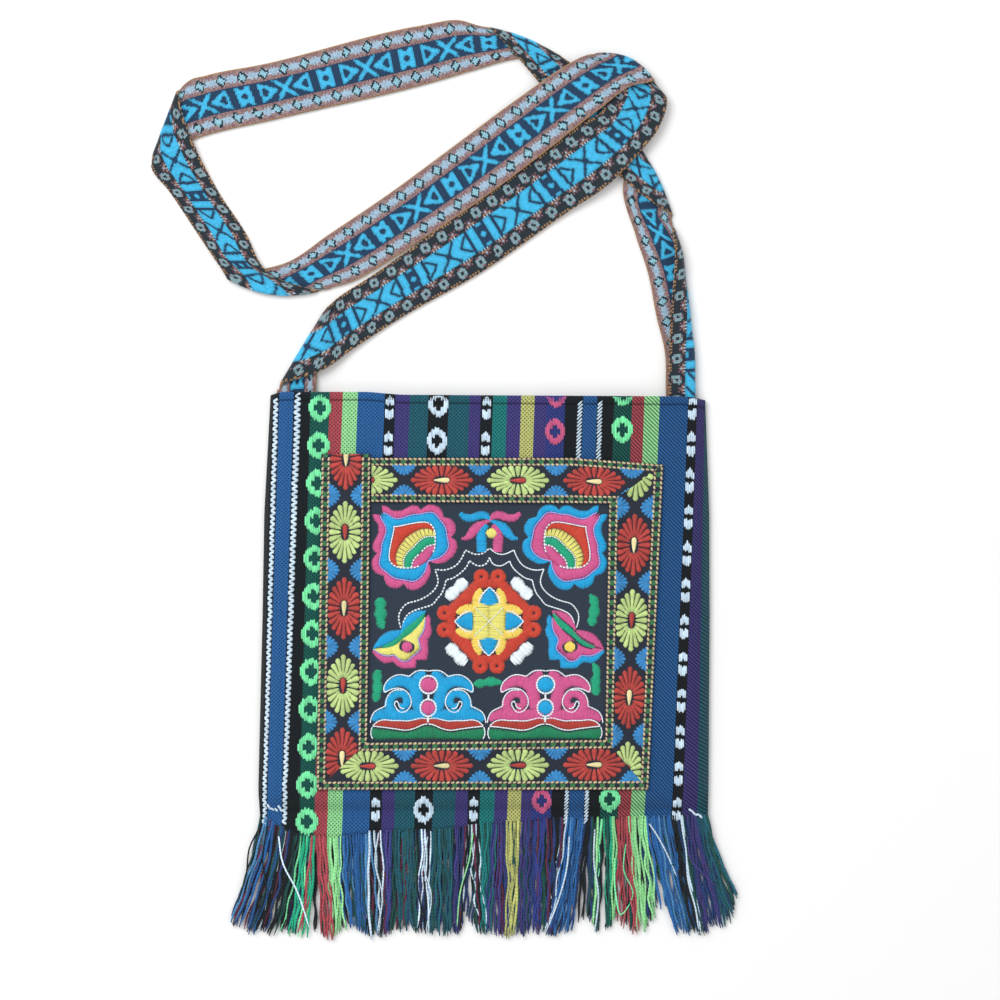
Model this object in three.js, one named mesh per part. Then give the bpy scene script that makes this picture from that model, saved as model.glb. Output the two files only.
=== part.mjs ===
// Embroidered crossbody bag: a flat striped pouch with a fringe, an embroidered square framed in
// flower ribbon, and one long folded strap. It lies on a surface with its front face up.
// Millimetres. +Z is up from the surface, +Y points from the fringe to the mouth.
// The origin is on the surface, under the middle of the pouch.

import * as THREE from 'three';

// Cloth thicknesses and the air between layers that lie on each other
const CLOTH_THICK = 1.2;
const PATCH_THICK = 1.0;
const RIBBON_THICK = 1.0;
const STRAP_THICK = 1.6;
const FRINGE_THICK = 1.2;
const LAYER_GAP = 0.35;

// Pouch: the hollow's height, the width over which the front wall rises from a seam, and its crown
const POUCH_WIDTH = 246;
const BOTTOM_SEAM_Y = -112.8;
const HOLLOW_HEIGHT = 5.6;
const SHOULDER_WIDTH = 14;
const CROWN_HEIGHT = 0.8;
const CROWN_HALF_WIDTH = 130;

// The ribbon covers the patch's raw edge by this much
const RIBBON_LAP = 4;

// Mesh density: shares of the shoulder, then even steps over the flat middle
const SHOULDER_STEPS = [0, 0.15, 0.35, 0.65, 1];
const MIDDLE_STEPS = 8;
const PATCH_STEPS = 6;
const RIBBON_STEP_LENGTH = 22;
const FOLD_STEPS = 4;

// Side seams of the pouch, from the fringe up to the mouth
const SIDE_SEAMS = [
  { y: -118, left: -123.2, right: 123.2 },
  { y: -103, left: -124.3, right: 123.6 },
  { y: -8, left: -122, right: 124.2 },
  { y: 50, left: -121, right: 124 },
  { y: 106, left: -118, right: 122 },
  { y: 117, left: -117.4, right: 121.6 },
];

// Hemmed edge of the mouth, left to right
const MOUTH_EDGE = [
  { x: -117.4, y: 114.9 },
  { x: -112, y: 116.6 },
  { x: -64, y: 116.6 },
  { x: -46, y: 115 },
  { x: 111.5, y: 114.1 },
  { x: 121.6, y: 112.2 },
];

// Lower end of the weave below the bottom seam, left to right, where the fringe starts
const WEAVE_END = [
  { x: -123.2, y: -117 },
  { x: -101, y: -128.7 },
  { x: -79, y: -129 },
  { x: -63, y: -126 },
  { x: -24, y: -124.9 },
  { x: 9, y: -120.5 },
  { x: 36, y: -118.8 },
  { x: 123.2, y: -117.2 },
];

// Fringe: where the strands that start at rootX end
const FRINGE_TIPS = [
  { rootX: -123.2, tipX: -138.5, tipY: -177.5 },
  { rootX: -101, tipX: -104, tipY: -183.5 },
  { rootX: -79, tipX: -82, tipY: -185.5 },
  { rootX: -24, tipX: -26, tipY: -183 },
  { rootX: 9, tipX: 9, tipY: -184 },
  { rootX: 36, tipX: 37.5, tipY: -183 },
  { rootX: 86, tipX: 90, tipY: -182.5 },
  { rootX: 110.5, tipX: 120, tipY: -182.5 },
  { rootX: 123.2, tipX: 139, tipY: -163 },
];

// Embroidered square, at the ribbon's inner edge
const PATCH_CORNERS = {
  topLeft: new THREE.Vector2(-62.2, 56.1),
  topRight: new THREE.Vector2(68.5, 55.3),
  bottomRight: new THREE.Vector2(66.5, -74.2),
  bottomLeft: new THREE.Vector2(-64, -75.9),
};

// Ribbon border in sewing order: start, a slight bend, three mitres and the raw end
const RIBBON_CORNERS = [
  { outerX: -61.7, outerY: 80.3, innerX: -61.7, innerY: 56.1 },
  { outerX: 48.5, outerY: 80.3, innerX: 48.5, innerY: 55.5 },
  { outerX: 98.5, outerY: 76.5, innerX: 68.5, innerY: 55.3 },
  { outerX: 90.2, outerY: -101.8, innerX: 66.5, innerY: -74.2 },
  { outerX: -91.9, outerY: -101.8, innerX: -64, innerY: -75.9 },
  { outerX: -89.1, outerY: 82.5, innerX: -62.2, innerY: 82.3 },
];

// Ribbon section: share of the width from the outer edge, and how far it has climbed onto the patch
const RIBBON_SECTION = [
  { share: 0, climb: 0 },
  { share: 0.35, climb: 0 },
  { share: 0.66, climb: 0 },
  { share: 0.78, climb: 1 },
  { share: 1, climb: 1 },
];

// Strap, from the left end inside the mouth to the right end, one row for each section.
// a and b are its two edges and z its middle height. A fold turns the strap over: rise is how far
// the next leg lies above (or below) and bow how far the crease bulges. A roll turns edge a over:
// tuck is the flat width from edge b, then comes a bend of that radius through curl degrees.
const STRAP_SECTIONS = [
  // Left end, right side up
  { ax: -112.8, ay: 97, bx: -91.3, by: 97, z: 2.4 },
  { ax: -113.2, ay: 117, bx: -92.7, by: 117, z: 2.4 },
  { ax: -111.6, ay: 121.5, bx: -88.5, by: 159.5, z: 2, fold: { rise: 2.4, bow: 0 } },
  // Lower diagonal, wrong side up
  { ax: -89, ay: 128.7, bx: -85.3, by: 164, z: 4.4 },
  { ax: -73.2, ay: 139.7, bx: -80.8, by: 168.3, z: 2.4 },
  { ax: -46.8, ay: 157, bx: -60, by: 182, z: 0.8 },
  { ax: -2.2, ay: 182.3, bx: -18.2, by: 208.5, z: 0.8 },
  { ax: 41.8, ay: 212.9, bx: 25.3, by: 238.5, z: 1.8 },
  { ax: 73.7, ay: 235.4, bx: 56, by: 259.6, z: 5.2 },
  { ax: 85.8, ay: 248.6, bx: 64.4, by: 270.6, z: 5.2 },
  { ax: 95.2, ay: 260.2, bx: 67.7, by: 277.8, z: 5.2 },
  { ax: 100.6, ay: 274.5, bx: 70.4, by: 286, z: 5.2 },
  { ax: 93.5, ay: 287.6, bx: 62.2, by: 302.5, z: 5.2, fold: { rise: 2.2, bow: 5 } },
  // Upper diagonal, right side up
  { ax: 80.3, ay: 284.4, bx: 55, by: 301.1, z: 7.4 },
  { ax: 63.2, ay: 271.7, bx: 46.2, by: 296.7, z: 7 },
  { ax: 33.5, ay: 248.6, bx: 16, by: 276.1, z: 4.6 },
  { ax: -2.2, ay: 222.2, bx: -19.2, by: 250.2, z: 1.6 },
  { ax: -35.2, ay: 200.2, bx: -52.2, by: 226, z: 0.8 },
  { ax: -73.2, ay: 177.4, bx: -87.5, by: 202.1, z: 0.8 },
  { ax: -84.7, ay: 174.1, bx: -106.7, by: 189, z: 0.8 },
  { ax: -91.8, ay: 172.4, bx: -141.4, by: 179.3, z: 0.8, fold: { rise: 2.2, bow: 5 } },
  // Left leg, wrong side up
  { ax: -106.7, ay: 176.3, bx: -144.6, by: 184.5, z: 3 },
  { ax: -119.4, ay: 183.2, bx: -149.6, by: 191.7, z: 2.8 },
  { ax: -131.4, ay: 204.3, bx: -159, by: 205.7, z: 1 },
  { ax: -148.5, ay: 230.7, bx: -173.8, by: 227.7, z: 1 },
  { ax: -160.6, ay: 255.2, bx: -182, by: 237.6, z: 3 },
  { ax: -166.1, ay: 270, bx: -183.2, by: 241, z: 3 },
  { ax: -168.8, ay: 282.2, bx: -181.8, by: 248, z: 3, fold: { rise: -2.2, bow: 0 } },
  // Top leg, right side up
  { ax: -163.4, ay: 287.6, bx: -175.5, by: 249.7, z: 0.8 },
  { ax: -153.4, ay: 291, bx: -159, by: 256.3, z: 0.8 },
  { ax: -121, ay: 297.4, bx: -113.8, by: 267.3, z: 0.8 },
  { ax: -35.8, ay: 318.4, bx: -28.6, by: 287.4, z: 0.8 },
  { ax: -13.2, ay: 321.5, bx: -2.2, by: 295.1, z: 0.8 },
  { ax: -4.5, ay: 318.9, bx: 13.2, by: 299.5, z: 0.8 },
  { ax: 3.8, ay: 316.9, bx: 38, by: 303.6, z: 0.8, fold: { rise: 2.2, bow: 1.5 } },
  // Crossing leg under both diagonals, wrong side up
  { ax: 14.3, ay: 305.8, bx: 43.5, by: 300.6, z: 3 },
  { ax: 30.8, ay: 286.5, bx: 50, by: 296.4, z: 3 },
  { ax: 52.8, ay: 261.2, bx: 75.9, by: 280, z: 3 },
  { ax: 74.2, ay: 236, bx: 78.5, by: 266, z: 3 },
  { ax: 88.5, ay: 224.1, bx: 80.8, by: 259, z: 3 },
  { ax: 101.8, ay: 213.4, bx: 86, by: 250.5, z: 3, fold: { rise: -2.2, bow: 1.5 } },
  // Right leg, right side up, with edge a rolled over on the way into the mouth
  { ax: 102, ay: 209.5, bx: 77, by: 233.2, z: 0.8 },
  { ax: 105.4, ay: 204.5, bx: 83.6, by: 203, z: 0.8 },
  { ax: 115.5, ay: 196, bx: 89, by: 187, z: 0.8, roll: { tuck: 16.5, radius: 2.8, curl: 180 } },
  { ax: 125.5, ay: 163.1, bx: 95.4, by: 156.8, z: 0.8, roll: { tuck: 15.7, radius: 2.1, curl: 180 } },
  { ax: 130.2, ay: 143.5, bx: 99.5, by: 139.7, z: 1.2, roll: { tuck: 14, radius: 1.7, curl: 180 } },
  { ax: 131.1, ay: 116, bx: 100.1, by: 116, z: 2.4, roll: { tuck: 14.5, radius: 1.05, curl: 180 } },
  { ax: 131.8, ay: 96, bx: 100.8, by: 96, z: 2.4, roll: { tuck: 14.5, radius: 1.05, curl: 180 } },
];

const UP = new THREE.Vector3(0, 0, 1);

// Where the strap's mesh has points across its width, from edge b to edge a, where it isn't rolled
const STRAP_SHARES = [0, 0.5, 0.6, 0.7, 0.8, 1];

// A column of a table at a value of its key column, in a straight line between rows
function lookUp(table, key, value, column) {
  const after = table.findIndex((row) => row[key] >= value);
  if (after === 0) return table[0][column];
  if (after < 0) return table[table.length - 1][column];
  const low = table[after - 1];
  const high = table[after];
  return THREE.MathUtils.mapLinear(value, low[key], high[key], low[column], high[column]);
}

// Area-weighted normal of a grid of points at one of them
function gridNormal(grid, i, j) {
  const normal = new THREE.Vector3();
  const here = grid[i][j];
  for (const [di, dj] of [[1, 1], [-1, 1], [-1, -1], [1, -1]]) {
    const along = grid[i + di]?.[j];
    const across = grid[i][j + dj];
    if (!along || !across) continue;
    const corner = across.clone().sub(here).cross(along.clone().sub(here));
    normal.addScaledVector(corner, di * dj);
  }
  return normal.normalize();
}

// A copy of a grid of points moved along its normals
function offsetGrid(grid, distance) {
  return grid.map((line, i) =>
    line.map((point, j) => point.clone().addScaledVector(gridNormal(grid, i, j), distance)));
}

// A copy of a grid of points moved straight up
function raisedGrid(grid, height) {
  return grid.map((line) => line.map((point) => point.clone().setZ(point.z + height)));
}

// Closed slab between two grids of the same size, with its faces pointing out
function slabGeometry(lower, upper) {
  const rows = lower.length;
  const columns = lower[0].length;
  const points = [...lower.flat(), ...upper.flat()];
  const id = (layer, i, j) => layer * rows * columns + i * columns + j;
  const index = [];
  const quad = (p, q, r, s) => index.push(p, q, r, p, r, s);
  for (let i = 0; i < rows - 1; i++) {
    for (let j = 0; j < columns - 1; j++) {
      quad(id(0, i, j), id(0, i, j + 1), id(0, i + 1, j + 1), id(0, i + 1, j));
      quad(id(1, i, j), id(1, i + 1, j), id(1, i + 1, j + 1), id(1, i, j + 1));
    }
    quad(id(0, i, 0), id(0, i + 1, 0), id(1, i + 1, 0), id(1, i, 0));
    const end = columns - 1;
    quad(id(0, i + 1, end), id(0, i, end), id(1, i, end), id(1, i + 1, end));
  }
  for (let j = 0; j < columns - 1; j++) {
    const end = rows - 1;
    quad(id(0, 0, j + 1), id(0, 0, j), id(1, 0, j), id(1, 0, j + 1));
    quad(id(0, end, j), id(0, end, j + 1), id(1, end, j + 1), id(1, end, j));
  }
  const volume = index.reduce((sum, _, k) => {
    if (k % 3) return sum;
    const [p, q, r] = [points[index[k]], points[index[k + 1]], points[index[k + 2]]];
    return sum + p.dot(q.clone().cross(r));
  }, 0);
  if (volume < 0) index.reverse();
  const geometry = new THREE.BufferGeometry().setFromPoints(points);
  geometry.setIndex(index);
  geometry.computeVertexNormals();
  return geometry;
}

// Shares of the pouch's width, denser on the two shoulders
function acrossShares() {
  const shoulder = SHOULDER_WIDTH / POUCH_WIDTH;
  const left = SHOULDER_STEPS.map((step) => step * shoulder);
  const right = left.map((share) => 1 - share).reverse();
  const middle = [];
  for (let step = 1; step < MIDDLE_STEPS; step++) {
    middle.push(THREE.MathUtils.lerp(shoulder, 1 - shoulder, step / MIDDLE_STEPS));
  }
  return [...left, ...middle, ...right];
}

// The panel's outline as a flat grid, from the end of the weave over the bottom seam to the mouth
function panelOutline() {
  const point = (share, y) => {
    const left = lookUp(SIDE_SEAMS, 'y', y, 'left');
    const right = lookUp(SIDE_SEAMS, 'y', y, 'right');
    return new THREE.Vector3(THREE.MathUtils.lerp(left, right, share), y, 0);
  };
  const shares = acrossShares();
  const weaveEnd = shares.map((share) => {
    const x = point(share, WEAVE_END[0].y).x;
    return new THREE.Vector3(x, lookUp(WEAVE_END, 'x', x, 'y'), 0);
  });
  const shoulder = SHOULDER_STEPS.map((step) => BOTTOM_SEAM_Y + step * SHOULDER_WIDTH);
  const lines = shoulder.map((y) => shares.map((share) => point(share, y)));
  const plateauY = BOTTOM_SEAM_Y + SHOULDER_WIDTH;
  for (let step = 1; step <= MIDDLE_STEPS; step++) {
    lines.push(shares.map((share) => {
      const mouthX = point(share, MOUTH_EDGE[0].y).x;
      const mouthY = lookUp(MOUTH_EDGE, 'x', mouthX, 'y');
      return point(share, THREE.MathUtils.lerp(plateauY, mouthY, step / MIDDLE_STEPS));
    }));
  }
  return [weaveEnd, ...lines];
}

// How far the front wall has risen at a distance from a seam, from 0 to 1
function shoulderRise(distance) {
  const share = THREE.MathUtils.clamp(distance / SHOULDER_WIDTH, 0, 1);
  return 1 - (1 - share) ** 3;
}

// Height of the front wall's inner face
function frontInnerHeight(x, y) {
  const left = lookUp(SIDE_SEAMS, 'y', y, 'left');
  const right = lookUp(SIDE_SEAMS, 'y', y, 'right');
  const side = shoulderRise(Math.min(x - left, right - x));
  const bottom = shoulderRise(y - BOTTOM_SEAM_Y);
  const crown = CROWN_HEIGHT * (1 - (x / CROWN_HALF_WIDTH) ** 2);
  return CLOTH_THICK + LAYER_GAP + (HOLLOW_HEIGHT + crown) * side * bottom;
}

// A point that lies a layer gap, and what is already there, above the front wall
function onFront(x, y, already) {
  const z = frontInnerHeight(x, y) + CLOTH_THICK + LAYER_GAP + already;
  return new THREE.Vector3(x, y, z);
}

function backPanelGeometry() {
  const grid = panelOutline();
  return slabGeometry(grid, raisedGrid(grid, CLOTH_THICK));
}

function frontPanelGeometry() {
  const grid = panelOutline();
  grid.flat().forEach((point) => point.setZ(frontInnerHeight(point.x, point.y)));
  return slabGeometry(grid, offsetGrid(grid, CLOTH_THICK));
}

// Strands from the end of the weave, lying at a height above the surface
function fringeGeometry(height) {
  const roots = panelOutline()[0];
  const rootLine = roots.map((root) => new THREE.Vector3(root.x, root.y - LAYER_GAP, height));
  const tipLine = roots.map((root) => {
    const tipX = lookUp(FRINGE_TIPS, 'rootX', root.x, 'tipX');
    const tipY = lookUp(FRINGE_TIPS, 'rootX', root.x, 'tipY');
    return new THREE.Vector3(tipX, tipY, height);
  });
  const grid = [tipLine, rootLine];
  return slabGeometry(grid, raisedGrid(grid, FRINGE_THICK));
}

function patchGeometry() {
  const { topLeft, topRight, bottomRight, bottomLeft } = PATCH_CORNERS;
  const middle = topLeft.clone().add(topRight).add(bottomRight).add(bottomLeft).divideScalar(4);
  const lapped = (corner) => {
    const lapX = Math.sign(corner.x - middle.x) * RIBBON_LAP;
    const lapY = Math.sign(corner.y - middle.y) * RIBBON_LAP;
    return new THREE.Vector2(corner.x + lapX, corner.y + lapY);
  };
  const grid = [];
  for (let i = 0; i <= PATCH_STEPS; i++) {
    const left = lapped(bottomLeft).lerp(lapped(topLeft), i / PATCH_STEPS);
    const right = lapped(bottomRight).lerp(lapped(topRight), i / PATCH_STEPS);
    const line = [];
    for (let j = 0; j <= PATCH_STEPS; j++) {
      const point = left.clone().lerp(right, j / PATCH_STEPS);
      line.push(onFront(point.x, point.y, 0));
    }
    grid.push(line);
  }
  return slabGeometry(grid, raisedGrid(grid, PATCH_THICK));
}

function ribbonGeometry() {
  const grid = [];
  const addLine = (outer, inner) => grid.push(RIBBON_SECTION.map(({ share, climb }) => {
    const point = outer.clone().lerp(inner, share);
    return onFront(point.x, point.y, climb * (PATCH_THICK + LAYER_GAP));
  }));
  const outerOf = (row) => new THREE.Vector2(row.outerX, row.outerY);
  const innerOf = (row) => new THREE.Vector2(row.innerX, row.innerY);
  for (let k = 0; k < RIBBON_CORNERS.length - 1; k++) {
    const from = RIBBON_CORNERS[k];
    const to = RIBBON_CORNERS[k + 1];
    const length = outerOf(from).distanceTo(outerOf(to));
    const steps = Math.ceil(length / RIBBON_STEP_LENGTH);
    for (let step = 0; step < steps; step++) {
      const share = step / steps;
      addLine(outerOf(from).lerp(outerOf(to), share), innerOf(from).lerp(innerOf(to), share));
    }
  }
  const last = RIBBON_CORNERS[RIBBON_CORNERS.length - 1];
  addLine(outerOf(last), innerOf(last));
  return slabGeometry(grid, raisedGrid(grid, RIBBON_THICK));
}

// The strap's two edges at a row, and its middle
function strapEdges(row) {
  const a = new THREE.Vector3(row.ax, row.ay, row.z);
  const b = new THREE.Vector3(row.bx, row.by, row.z);
  return { a, b, middle: a.clone().add(b).divideScalar(2) };
}

// A flat section of the strap; facing is 1 where its right side is up and -1 where it is down
function plainSection(row, facing) {
  const { a, b } = strapEdges(row);
  return STRAP_SHARES.map((share) => ({
    point: b.clone().lerp(a, share),
    normal: UP.clone().multiplyScalar(facing),
  }));
}

// Sections round a crease, from the leg that comes in to the leg that lies over or under it
function foldSections(row, facing, before) {
  const { a, b, middle } = strapEdges(row);
  const outward = b.clone().sub(a).cross(UP).normalize();
  if (outward.dot(middle.clone().sub(before)) < 0) outward.negate();
  const radius = Math.abs(row.fold.rise) / 2;
  const sections = [];
  for (let step = 0; step <= FOLD_STEPS; step++) {
    const angle = Math.PI * step / FOLD_STEPS;
    const inward = radius * (1 - Math.sin(angle));
    const climb = row.fold.rise / 2 * (1 - Math.cos(angle));
    const normal = UP.clone().multiplyScalar(facing * Math.cos(angle));
    normal.addScaledVector(outward, -facing * Math.sign(row.fold.rise) * Math.sin(angle));
    sections.push(STRAP_SHARES.map((share) => {
      const bulge = row.fold.bow * (1 - (2 * share - 1) ** 2);
      const point = b.clone().lerp(a, share).addScaledVector(outward, bulge - inward);
      return { point: point.setZ(row.z + climb), normal };
    }));
  }
  return sections;
}

// A section with its right side up, whose edge a is rolled up and over
function rolledSection(row) {
  const { a, b } = strapEdges(row);
  const width = a.distanceTo(b);
  const across = a.sub(b).normalize();
  const { tuck, radius, curl } = row.roll;
  const full = THREE.MathUtils.degToRad(curl);
  const arc = radius * full;
  const stops = [0, tuck, tuck + arc / 3, tuck + arc * 2 / 3, tuck + arc, width];
  return stops.map((stop) => {
    const angle = THREE.MathUtils.clamp((stop - tuck) / radius, 0, full);
    const beyond = Math.max(stop - tuck - arc, 0);
    const side = Math.min(stop, tuck) + radius * Math.sin(angle) + beyond * Math.cos(full);
    const climb = radius * (1 - Math.cos(angle)) + beyond * Math.sin(full);
    const normal = UP.clone().multiplyScalar(Math.cos(angle));
    normal.addScaledVector(across, -Math.sin(angle));
    return { point: b.clone().addScaledVector(across, side).setZ(row.z + climb), normal };
  });
}

function strapGeometry() {
  const sections = [];
  let facing = 1;
  let before = strapEdges(STRAP_SECTIONS[0]).middle;
  for (const row of STRAP_SECTIONS) {
    if (row.fold) {
      sections.push(...foldSections(row, facing, before));
      facing = -facing;
    } else {
      sections.push(row.roll ? rolledSection(row) : plainSection(row, facing));
    }
    before = strapEdges(row).middle;
  }
  const side = (offset) => sections.map((section) =>
    section.map(({ point, normal }) => point.clone().addScaledVector(normal, offset)));
  return slabGeometry(side(-STRAP_THICK / 2), side(STRAP_THICK / 2));
}

function clothMesh(name, geometry, color, roughness) {
  const material = new THREE.MeshStandardMaterial({ color, roughness, metalness: 0 });
  const mesh = new THREE.Mesh(geometry, material);
  mesh.name = name;
  return mesh;
}

const bag = new THREE.Group();
bag.add(clothMesh('back_panel', backPanelGeometry(), 0x2c3f7c, 0.9));
bag.add(clothMesh('front_panel', frontPanelGeometry(), 0x31518f, 0.9));
bag.add(clothMesh('embroidered_patch', patchGeometry(), 0x14161f, 0.8));
bag.add(clothMesh('ribbon_border', ribbonGeometry(), 0xa8322f, 0.75));
bag.add(clothMesh('strap', strapGeometry(), 0x3f8fc4, 0.8));
bag.add(clothMesh('front_fringe', fringeGeometry(CLOTH_THICK + LAYER_GAP), 0x2b6a6a, 0.9));
bag.add(clothMesh('back_fringe', fringeGeometry(0), 0x4b2a56, 0.9));

export default bag;
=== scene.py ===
"""Embroidered crossbody bag: a striped pouch with a fringe, an embroidered square in a flower
ribbon frame, and a long folded strap, laid flat with its front face up."""

import math
from functools import partial

import bmesh
import bpy
import numpy as np
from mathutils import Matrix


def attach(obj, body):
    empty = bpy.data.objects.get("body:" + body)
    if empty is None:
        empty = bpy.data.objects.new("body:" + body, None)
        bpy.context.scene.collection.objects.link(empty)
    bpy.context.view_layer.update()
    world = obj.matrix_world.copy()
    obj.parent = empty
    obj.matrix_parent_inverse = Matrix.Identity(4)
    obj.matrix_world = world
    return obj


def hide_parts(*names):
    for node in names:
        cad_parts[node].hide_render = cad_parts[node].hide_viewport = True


bl_info = {
    "name": "Embroidered crossbody bag",
    "version": (1, 0, 0),
    "blender": (4, 5, 0),
    "location": "View3D > Sidebar > Bag",
    "description": "Builds the cloth, embroidery, ribbon, strap and fringe of a striped shoulder pouch",
    "category": "Add Mesh",
}

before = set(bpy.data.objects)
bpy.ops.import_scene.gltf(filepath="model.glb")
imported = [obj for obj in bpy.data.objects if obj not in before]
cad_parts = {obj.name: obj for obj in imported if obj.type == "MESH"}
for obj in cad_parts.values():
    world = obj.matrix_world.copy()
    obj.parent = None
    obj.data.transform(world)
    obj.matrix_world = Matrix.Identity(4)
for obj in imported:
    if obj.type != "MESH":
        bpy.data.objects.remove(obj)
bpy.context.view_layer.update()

# A millimetre in metres, a centimetre in millimetres, and up
MM = 0.001
CM = 10.0
UP = np.array((0, 0, 1.0))

# Thicknesses and the pouch's form, in millimetres, as in the CAD model
CLOTH = 1.2
PATCH = 1.0
RIBBON = 1.0
STRAP = 1.6
GAP = 0.35
BOTTOM_SEAM_Y = -112.8
HOLLOW = 5.6
SHOULDER = 14.0
CROWN = 0.8
CROWN_HALF_WIDTH = 130.0
# Slow ripple of the front cloth
RIPPLE_HEIGHT = 0.4
RIPPLE_ACROSS = 17.0
RIPPLE_ALONG = 29.0
RIPPLE_PHASE = 0.6
SWAY = 1.3
SWAY_ALONG = 41.0

# Side seams: y, left x, right x
SIDE_SEAMS = np.array([
    (-118, -123.2, 123.2), (-103, -124.3, 123.6), (-8, -122, 124.2), (50, -121, 124),
    (106, -118, 122), (117, -117.4, 121.6),
])

# Hemmed edge of the mouth and lower end of the weave: x, y
MOUTH_EDGE = np.array([
    (-117.4, 114.9), (-112, 116.6), (-64, 116.6), (-46, 115), (111.5, 114.1), (121.6, 112.2),
])
WEAVE_END = np.array([
    (-123.2, -117), (-101, -128.7), (-79, -129), (-63, -126), (-24, -124.9), (9, -120.5),
    (36, -118.8), (123.2, -117.2),
])

# Folded hem of the mouth: distance below the edge, and how far the cloth stands up or is pulled in
HEM = ((5.6, 0.0), (5.0, 0.05), (4.6, -0.45), (4.1, 0.1), (3.3, 0.45), (1.6, 0.5), (0.6, 0.3), (0, -0.3))
FLAT_HEM = ((2.0, 0.0), (0.0, 0.0))
# Rows of the hem that lie in its stitched groove, and how dark they are painted, as shade in the groove
HEM_GROOVE = (2, 4)
HEM_GROOVE_PAINTED_SHADE = 0.5
# Widest column of the cloth, and its rows between the shoulder and the hem
COLUMN_WIDTH = 3.5
BODY_ROWS = 41

# Warp stripes from left to right: yarn, woven motif, right edge at STRIPE_TOP_Y and at STRIPE_FOOT_Y
STRIPE_TOP_Y = 112.2
STRIPE_FOOT_Y = -107.8
STRIPES = (
    ("black", "", -116.1, -122.1), ("black", "zigzag", -112.5, -119.1), ("blue", "", -104.5, -111.1),
    ("black", "zigzag", -100.1, -107.8), ("black", "", -95.2, -101.2),
    ("teal", "green_oval_left", -84.7, -93.0), ("red", "", -77.6, -85.8), ("lime", "", -69.3, -77.6),
    ("blue", "", -54.5, -62.7), ("black", "tuft", -48.7, -56.1), ("purple", "", -40.7, -49.0),
    ("green", "", -30.5, -38.0), ("black", "white_oval", -19.3, -28.1), ("green", "", -7.9, -15.7),
    ("purple", "", -1.7, -8.8), ("black", "tuft", 5.0, -2.2), ("sea", "", 12.7, 5.8),
    ("purple", "", 20.4, 13.0), ("yellow", "", 27.8, 20.4), ("purple", "", 34.7, 26.4),
    ("indigo", "pink_oval", 44.6, 37.1), ("black", "", 51.2, 44.0), ("black", "zigzag", 54.5, 46.8),
    ("blue", "", 62.2, 55.0), ("black", "zigzag", 65.5, 57.8), ("black", "", 71.5, 64.1),
    ("teal", "green_oval_right", 81.4, 74.0), ("red", "", 88.0, 80.9), ("lime", "", 96.5, 88.6),
    ("blue", "", 112.2, 103.4), ("black", "tuft", 117.2, 109.2), ("purple", "", 121.5, 117.4),
    ("green", "", 121.8, 123.4),
)

# Woven motifs, charted: a mark is a warp float on the face of the cloth
OVAL_HALF = (
    ".....###.....",
    "...#######...",
    "..#########..",
    ".###########.",
    ".####...####.",
    "#####...#####",
    "###.......###",
    "###.......###",
)
OVAL_CHART = OVAL_HALF + OVAL_HALF[-2::-1]
TUFT_CHARTS = (
    ("..#..", ".###.", "#####", "#####", "#####", "##.##"),
    ("##.##", "#####", "#####", "#####", "#####", ".###."),
)
# Motif: charts in turn, yarn, width, height, centre of the first one, then the steps down from each
MOTIFS = {
    "green_oval_left": ((OVAL_CHART,), "neon", 12.4, 15.2, 107.8, (20.7,)),
    "green_oval_right": ((OVAL_CHART,), "neon", 11.6, 15.0, 116.0, (20.3,)),
    "white_oval": ((OVAL_CHART,), "white", 11.0, 15.0, 110.0, (20.3,)),
    "pink_oval": ((OVAL_CHART,), "pink", 10.8, 14.6, 115.0, (20.3,)),
    "tuft": (TUFT_CHARTS, "white", 4.6, 5.8, 112.2, (8.0, 12.1)),
}
# Floats of the motifs, and how far below the seam these go on
MOTIF_REACH = 8.0
FLOAT_OVERLAP = 1.12
FLOAT_SHORTEST = 0.6
FLOAT_MOUTH_ROOM = 0.5
# White floats beside the blue stripes, then the inset, climb, width and step down of their two kinds
ZIGZAG_TOP_Y = 115.8
ZIGZAG_REACH = 6.0
ZIGZAG_MOUTH_ROOM = 0.6
ZIGZAG = (0.5, 1.5, 1.45, 3.0)
SLASH = (0.3, 2.8, 0.95, 1.95)
# Stitches that gather the cloth at the lower corners: x, y; and their slant
GATHERS = (
    (-118.4, -111.6), (-116.6, -112.9), (-114.4, -113.3), (-112.2, -112.6), (-110.4, -114.0),
    (113.8, -113.6), (115.6, -115.2), (117.4, -116.0), (119.3, -117.0),
)
GATHER_SLANT = (0.6, -0.4)

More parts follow.
